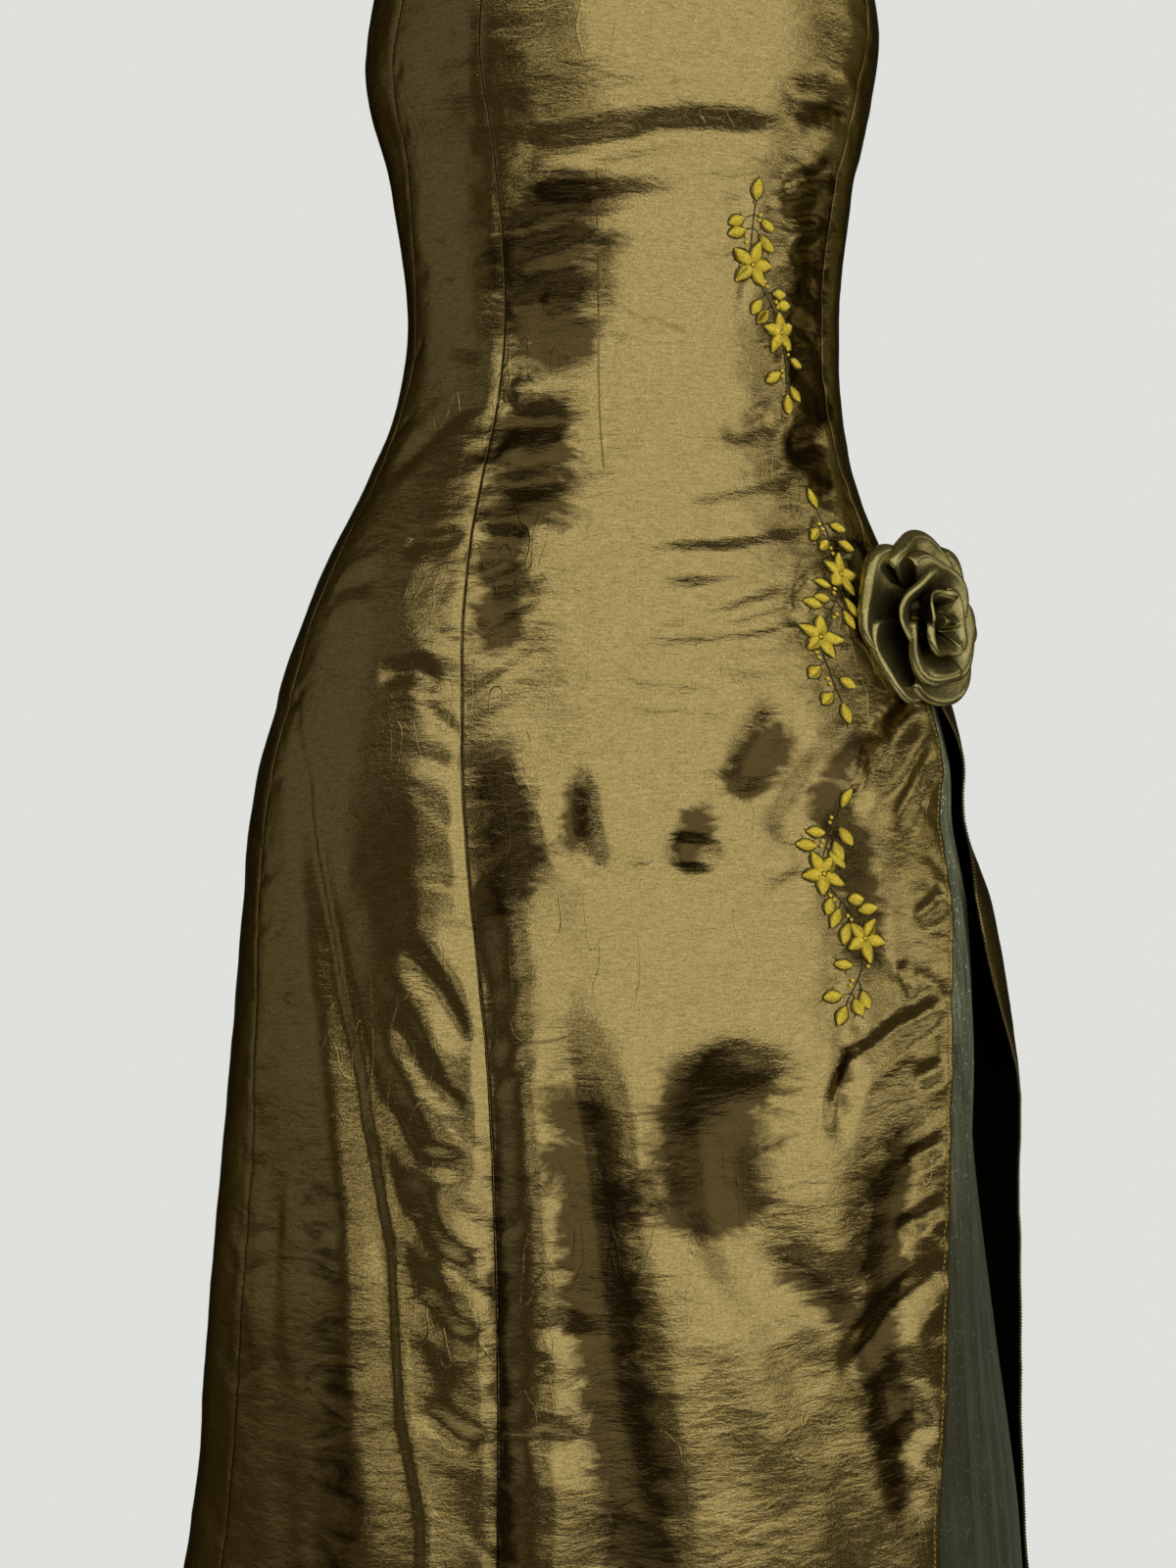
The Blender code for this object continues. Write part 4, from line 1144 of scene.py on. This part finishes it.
def satin_shape(foot, heading, size, point=1.0):
    """Threads across a pointed oval that grows from its foot, slanting both ways from its
    midrib, as points of across, up and off the cloth."""
    length, width = size
    along = Vector((math.cos(heading), math.sin(heading)))
    side = Vector((-along.y, along.x))
    threads = []
    count = int(length / THREAD_SPACING)
    for number in range(1, count):
        share = number / count
        half = width / 2 * math.sin(math.pi * share ** point) ** 0.8
        thread = []
        for step in (-1.0, -0.6, 0.0, 0.6, 1.0):
            place = Vector(foot) + along * (length * share + 0.18 * half * (1 - abs(step)))
            place = place + side * (half * step)
            off = PADDING * (1 - step * step) * math.sin(math.pi * share) ** 0.5
            thread.append((place.x, place.y, off + 0.0001))
        threads.append(thread)
    return threads


def smooth_stem(points, pieces):
    """Points at even steps along a smooth curve through the spray's points, in metres."""
    control = [points[0]] + list(points) + [points[-1]]
    fine = []
    for number in range(len(points) - 1):
        a, b, c, d = (Vector(point) for point in control[number:number + 4])
        for step in range(12):
            u = step / 12
            fine.append(0.5 * (2 * b + (c - a) * u + (2 * a - 5 * b + 4 * c - d) * u ** 2
                               + (3 * b - a - 3 * c + d) * u ** 3))
    fine.append(Vector(points[-1]))
    lengths = np.r_[0, np.cumsum([(b - a).length for a, b in zip(fine, fine[1:])])]
    marks = np.linspace(0, lengths[-1], pieces + 1)
    xs = np.interp(marks, lengths, [point.x for point in fine])
    ys = np.interp(marks, lengths, [point.y for point in fine])
    return [Vector(pair) for pair in zip(xs, ys)]


def spray(stem, seed):
    """One spray in flat cloth coordinates about its first point: its satin threads, its stem
    threads and the places of its knots."""
    draw = random.Random(seed)
    head_angle, head_z = stem[0]
    metres = [math.radians(1.0) * float(reach(point_z)) * SPRAY_REACH for _, point_z in stem]
    flat = [Vector(((point_angle - head_angle) * scale, point_z - head_z))
            for (point_angle, point_z), scale in zip(stem, metres)]
    line = smooth_stem(flat, STEM_STEPS)
    threads, stems, knots = [], [], []
    flowers = flat[1:3]
    for centre in flowers:
        first = draw.uniform(0, 2 * math.pi)
        for petal in range(5):
            heading = first + petal * 2 * math.pi / 5 + draw.uniform(-0.12, 0.12)
            foot = centre + Vector((math.cos(heading), math.sin(heading))) * 0.0010
            size = (FLOWER_PETAL[0] * draw.uniform(0.85, 1.08), FLOWER_PETAL[1])
            threads += satin_shape(foot, heading, size, 0.75)
            stems += edge_stitches(foot, heading, size, draw)
        knots.append(centre)
    side = draw.choice((-1, 1))
    for number in range(LEAVES + 1):
        at = int(STEM_STEPS * number / LEAVES)
        place = line[at]
        ahead = line[min(at + 1, STEM_STEPS)] - line[max(at - 1, 0)]
        heading = math.atan2(ahead.y, ahead.x)
        if number in (0, LEAVES):
            out = heading + (math.pi if number == 0 else 0.0)
            threads += satin_shape(place, out, LEAF)
            stems += edge_stitches(place, out, LEAF, draw)
            continue
        for here in ((side, -side) if draw.random() < 0.55 else (side,)):
            out = heading + here * draw.uniform(0.8, 1.25)
            stand = draw.uniform(0.0030, 0.0065)
            foot = place + Vector((math.cos(out), math.sin(out))) * stand
            if min((foot - centre).length for centre in flowers) < 0.0120:
                continue
            size = (LEAF[0] * draw.uniform(0.8, 1.1), LEAF[1] * draw.uniform(0.85, 1.1))
            threads += satin_shape(foot, out, size)
            stems += edge_stitches(foot, out, size, draw)
            bend = (place + foot) / 2 + Vector((-ahead.y, ahead.x)).normalized() * 0.0006
            stems.append([(point.x, point.y, 0.0002) for point in (place, bend, foot)])
        side = -side
    for at in range(0, STEM_STEPS, 3):
        stems.append([(line[step].x, line[step].y, 0.0002) for step in range(at, at + 4)
                      if step <= STEM_STEPS])
    for at in range(4, STEM_STEPS, 7):
        ahead = line[at + 1] - line[at - 1]
        beside = Vector((-ahead.y, ahead.x)).normalized() * draw.choice((-1, 1)) * 0.0032
        knots.append(line[at] + beside)
        knots.append(line[at] + beside * 0.9 + ahead.normalized() * 0.0030)
    return threads, stems, knots


def lay_on_cloth(mesh, stem):
    """Lay a mesh drawn flat, as across, up and off the cloth, on the cloth at a spray."""
    head_angle, head_z = stem[0]
    flat = np.empty(len(mesh.vertices) * 3)
    mesh.vertices.foreach_get("co", flat)
    flat = flat.reshape(-1, 3)
    z = head_z + flat[:, 1]
    metres = np.radians(1.0) * reach(z) * SPRAY_REACH
    places = on_cloth(head_angle + flat[:, 0] / metres, z, flat[:, 2])
    move_points(mesh, places)


RAYON = twisted_thread("yellow_gold_rayon_thread", "#FFEE5C", "#D4B01E", 0.32, 0.25)
STEM_THREAD = twisted_thread("dull_gold_stem_thread", "#6A5C22", "#2C260E", 0.5, 0.2)
for number, stem in enumerate(SPRAYS):
    threads, stems, knots = spray(stem, 5 + number)
    mesh = thread_mesh(f"embroidery_{number + 1}", threads, THREAD_RADIUS)
    lay_on_cloth(mesh, stem)
    show(f"embroidery_{number + 1}", mesh, RAYON)
    mesh = thread_mesh(f"embroidery_stems_{number + 1}", stems, STEM_RADIUS)
    lay_on_cloth(mesh, stem)
    show(f"embroidery_stems_{number + 1}", mesh, STEM_THREAD)
    form = bmesh.new()
    for knot in knots:
        bmesh.ops.create_icosphere(form, subdivisions=2, radius=KNOT_RADIUS,
                                   matrix=Matrix.Translation((knot.x, knot.y, 0.0006)))
    mesh = bpy.data.meshes.new(f"embroidery_knots_{number + 1}")
    form.to_mesh(mesh)
    form.free()
    lay_on_cloth(mesh, stem)
    show(f"embroidery_knots_{number + 1}", mesh, RAYON)

# --- Rose -----------------------------------------------------------------------------------
# A fabric rose of dull sage-gold satin on its own disc at the head of the slit. Its outer
# petals are cupped and stiffened, with their rims rolled back; the middle is a wound strip.

ROSE_Z = -0.340
ROSE_STAND_OFF = 0.0060
ROSE_AZIMUTH = 25.0
ROSE_NOD = (-0.10, -0.24)      # how far its middle leans across and down, per height
ROSE_TILT = 4.0
PETAL_THICKNESS = 0.0007
RIM_ROLL = 0.0034              # radius that a petal's rim is rolled back to
PETALS = (
    # node,        middle, span, foot radius, rim radius, foot height, rim height, lap, roll
    ("outer_petal_1", 22.0,  92.0, 0.0100, 0.0450, 0.0036, 0.0110, 0.0040, 2.6),
    ("outer_petal_2", 88.0,  98.0, 0.0100, 0.0425, 0.0036, 0.0150, 0.0040, 2.9),
    ("outer_petal_3", 160.0, 98.0, 0.0100, 0.0460, 0.0036, 0.0110, 0.0050, 2.5),
    ("outer_petal_4", 232.0, 94.0, 0.0100, 0.0450, 0.0036, 0.0110, 0.0050, 2.0),
    ("outer_petal_5", 300.0, 98.0, 0.0100, 0.0480, 0.0036, 0.0120, 0.0050, 3.0),
    ("middle_petal_1", 60.0,  112.0, 0.0084, 0.0325, 0.0042, 0.0210, 0.0040, 1.9),
    ("middle_petal_2", 152.0, 104.0, 0.0084, 0.0300, 0.0042, 0.0290, 0.0040, 1.5),
    ("middle_petal_3", 240.0, 112.0, 0.0084, 0.0310, 0.0042, 0.0270, 0.0040, 2.4),
    ("middle_petal_4", 325.0, 106.0, 0.0084, 0.0330, 0.0042, 0.0220, 0.0040, 2.2),
    ("inner_petal_1", 10.0,  130.0, 0.0042, 0.0185, 0.0048, 0.0270, 0.0022, 1.2),
    ("inner_petal_2", 130.0, 126.0, 0.0042, 0.0165, 0.0048, 0.0320, 0.0022, 0.9),
    ("inner_petal_3", 250.0, 130.0, 0.0042, 0.0180, 0.0048, 0.0300, 0.0022, 1.4),
)
PETAL_COLUMNS, PETAL_ROWS = 26, 24
ROLL_START, ROLL_SHARE = 0.80, 0.20    # of a petal's length: cupped, then rolled back
CUP_DEPTH = 0.0024
RIM_WAVE = 0.0034


def rose_satin(name):
    """Sage-gold polyester satin: silky broad gloss, with faint stretched threads that run from
    foot to rim. Its colour is darker and browner towards each petal's foot, painted shade for the
    hollows of the rose."""
    material, tree, shader = new_material(name, Metallic=0.90, Roughness=0.24,
                                          Specular_Tint=srgb("#8A8058"),
                                          Coat_Weight=0.12, Coat_Roughness=0.25)
    place = node(tree, "ShaderNodeTexCoord").outputs["Object"]
    fine = node(tree, "ShaderNodeTexNoise", {"Vector": place}, scale=900.0, detail=2.0,
                roughness=0.6)
    broad = node(tree, "ShaderNodeTexNoise", {"Vector": place}, scale=70.0, detail=4.0,
                 roughness=0.6)
    both = node(tree, "ShaderNodeMix", {"A": fine.outputs[0], "B": broad.outputs[0]},
                factor=0.6)
    ramp = colour_ramp(tree, both.outputs[0], 0.35, "#8A8048", 0.68, "#CCC285")
    # Painted shade: the base colour is mixed towards a near-black olive towards each petal's
    # foot, for the hollows of the rose.
    painted_foot_shade = node(tree, "ShaderNodeAttribute", attribute_name="painted_foot_shade")
    depth = node(tree, "ShaderNodeMapRange", {"Value": painted_foot_shade.outputs["Fac"]}, from_min=0.15,
                 from_max=0.85, to_min=0.0, to_max=0.85)
    shaded = node(tree, "ShaderNodeMix", {"Factor": depth.outputs[0]}, data_type="RGBA")
    tree.links.new(ramp.outputs[0], shaded.inputs[6])
    shaded.inputs[7].default_value = srgb("#2B2814")
    tree.links.new(shaded.outputs[2], shader.inputs["Base Color"])
    bump = node(tree, "ShaderNodeBump", {"Height": broad.outputs[0]}, strength=0.5,
                distance=0.0010)
    fine_bump = node(tree, "ShaderNodeBump", {"Height": fine.outputs[0],
                                              "Normal": bump.outputs[0]},
                     strength=0.3, distance=0.0002)
    tree.links.new(fine_bump.outputs[0], shader.inputs["Normal"])
    return material


def rose_frame():
    """Matrix that stands the rose's own axis, +Z, on the cloth at the head of the slit."""
    angle = float(seam(FRONT_EDGE, ROSE_Z))
    foot = plain_point(angle, ROSE_Z) + plan_normal(angle, ROSE_Z) * float(
        fold_height(angle, ROSE_Z))
    across = plain_point(angle + 0.25, ROSE_Z) - plain_point(angle - 0.25, ROSE_Z)
    up = plain_point(angle, ROSE_Z + 0.002) - plain_point(angle, ROSE_Z - 0.002)
    normal = Vector(across).cross(Vector(up)).normalized()
    turn = math.radians(ROSE_AZIMUTH)
    tilt = math.radians(ROSE_TILT)
    axis = Vector((math.sin(turn) * math.cos(tilt), -math.cos(turn) * math.cos(tilt),
                   math.sin(tilt)))
    beside = Vector((math.cos(turn), math.sin(turn), 0.0))
    upward = axis.cross(beside)
    leaning = axis + beside * ROSE_NOD[0] + upward * ROSE_NOD[1]
    placed = Matrix((beside, upward, leaning)).transposed().to_4x4()
    placed.translation = Vector(foot) + normal * ROSE_STAND_OFF
    return placed


def petal_mesh(name, middle, span, foot_r, rim_r, foot_h, rim_h, lap, roll, seed):
    """A cupped petal with a rolled rim, in its place on the rose."""
    mesh, column, row = grid_mesh(name, PETAL_COLUMNS, PETAL_ROWS)
    share = column * 2.0 / PETAL_COLUMNS - 1
    along = (PETAL_ROWS - row) / PETAL_ROWS
    draw = random.Random(seed + 5)
    waves = [(draw.uniform(1.5, 4.5), draw.uniform(0, 6.3), draw.uniform(0.4, 1.0))
             for _ in range(3)]
    wave = sum(size * np.sin(pace * share + phase) for pace, phase, size in waves) / 2
    outline = 0.98 - 0.24 * np.abs(share) ** 3.5 + 0.02 * wave
    rise = np.clip(along / ROLL_START, 0.0, 1.0) * outline
    curl = np.clip((along - ROLL_START) / ROLL_SHARE, 0.0, 1.0) * roll * (1 + 0.35 * wave)
    under = lap * (share * 0.5 + 0.5)
    radius = foot_r + (rim_r - foot_r) * rise + under
    height = foot_h + (rim_h - foot_h) * (1 - (1 - rise) ** 1.8) - 0.6 * under * rise
    slope = np.arctan2((rim_h - foot_h) * 1.8 * (1 - rise) ** 0.8, rim_r - foot_r)
    turn = RIM_ROLL * (1 + 0.35 * np.sin(2.3 * share + seed))
    radius += turn * (np.sin(slope) - np.sin(slope - curl))
    height += turn * (np.cos(slope - curl) - np.cos(slope))
    cup = np.sin(math.pi * np.clip(along / 0.9, 0.0, 1.0))
    height += -CUP_DEPTH * cup * (1 - share ** 2) + RIM_WAVE * wave * rise ** 2
    radius += 0.0024 * np.sin(4.5 * share + 2 * seed) * rise ** 3
    angle = np.radians(middle + share * span / 2 * (0.72 + 0.28 * ease(2 * along)))
    places = np.stack((radius * np.cos(angle), radius * np.sin(angle), height), axis=-1)
    mesh.vertices.foreach_set("co", places.ravel())
    mesh.transform(rose_place)
    mesh.update()
    # painted_foot_shade: 0 at a petal's rim and 1 at its foot, for the satin's painted shade
    write_field(mesh, "painted_foot_shade", 1 - along)
    return mesh


rose_place = rose_frame()
SATIN = rose_satin("sage_gold_satin")
for seed, (name, *shape) in enumerate(PETALS):
    mesh = petal_mesh("rose_" + name + "_cloth", *shape, seed)
    petal = show("rose_" + name + "_cloth", mesh, SATIN,
                 thickness=PETAL_THICKNESS)
    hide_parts("rose_" + name)

BUD_TURNS = 2.1
BUD_HEIGHT = 0.0300
BUD_FOOT = 0.0036
BUD_CORE_RADIUS, BUD_GROWTH, BUD_FLARE = 0.0016, 0.0048, 0.0012
BUD_THICKNESS = 0.0005
BUD_COLUMNS, BUD_ROWS = 64, 12
mesh, column, row = grid_mesh("rose_bud_cloth", BUD_COLUMNS, BUD_ROWS)
wound = column / BUD_COLUMNS
along = (BUD_ROWS - row) / BUD_ROWS
radius = BUD_CORE_RADIUS + BUD_GROWTH * wound + BUD_FLARE * along ** 2
height = BUD_FOOT + BUD_HEIGHT * along * (0.80 + 0.20 * np.sin(26.0 * wound + 2.0))
angle = 2 * math.pi * BUD_TURNS * wound
places = np.stack((radius * np.cos(angle), radius * np.sin(angle), height), axis=-1)
mesh.vertices.foreach_set("co", places.ravel())
mesh.transform(rose_place)
mesh.update()
bud = show("rose_bud_cloth", mesh, SATIN, thickness=BUD_THICKNESS)
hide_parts("rose_bud")
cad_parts["rose_base"].material_slots[0].material = SATIN

# --- Zip ------------------------------------------------------------------------------------
# A concealed zip in the centre-back seam: woven tape inside, a bronzed zinc slider and its
# pull tab at the top edge.


def woven_tape(name):
    """Polyester zip tape: close herringbone weave, matt olive."""
    material, tree, shader = new_material(name, Roughness=0.85, Sheen_Weight=0.3)
    place = node(tree, "ShaderNodeTexCoord").outputs["Object"]
    rib = node(tree, "ShaderNodeTexWave", {"Vector": place}, wave_type="BANDS",
               bands_direction="DIAGONAL", scale=420.0, distortion=0.5)
    ramp = colour_ramp(tree, rib.outputs["Fac"], 0.0, "#3A3420", 1.0, "#6A6040")
    tree.links.new(ramp.outputs[0], shader.inputs["Base Color"])
    bump = node(tree, "ShaderNodeBump", {"Height": rib.outputs["Fac"]}, strength=0.5,
                distance=0.0003)
    tree.links.new(bump.outputs[0], shader.inputs["Normal"])
    return material


def bronzed_zinc(name):
    """Die-cast zinc with a bronze lacquer, rubbed brighter in fine scratches."""
    material, tree, shader = new_material(name, Metallic=1.0, Roughness=0.3)
    place = node(tree, "ShaderNodeTexCoord").outputs["Object"]
    rubbed = node(tree, "ShaderNodeTexNoise", {"Vector": place}, scale=700.0, detail=4.0,
                  roughness=0.7)
    ramp = colour_ramp(tree, rubbed.outputs[0], 0.35, "#5E4E2E", 0.7, "#B29A66")
    tree.links.new(ramp.outputs[0], shader.inputs["Base Color"])
    wear = node(tree, "ShaderNodeMapRange", {"Value": rubbed.outputs[0]}, to_min=0.22,
                to_max=0.45)
    tree.links.new(wear.outputs[0], shader.inputs["Roughness"])
    bump = node(tree, "ShaderNodeBump", {"Height": rubbed.outputs[0]}, strength=0.3,
                distance=0.0001)
    tree.links.new(bump.outputs[0], shader.inputs["Normal"])
    return material


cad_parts["zip_tape"].material_slots[0].material = woven_tape("olive_zip_tape")
ZINC = bronzed_zinc("bronzed_zinc")
for name in ("zip_slider", "zip_pull_tab"):
    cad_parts[name].material_slots[0].material = ZINC
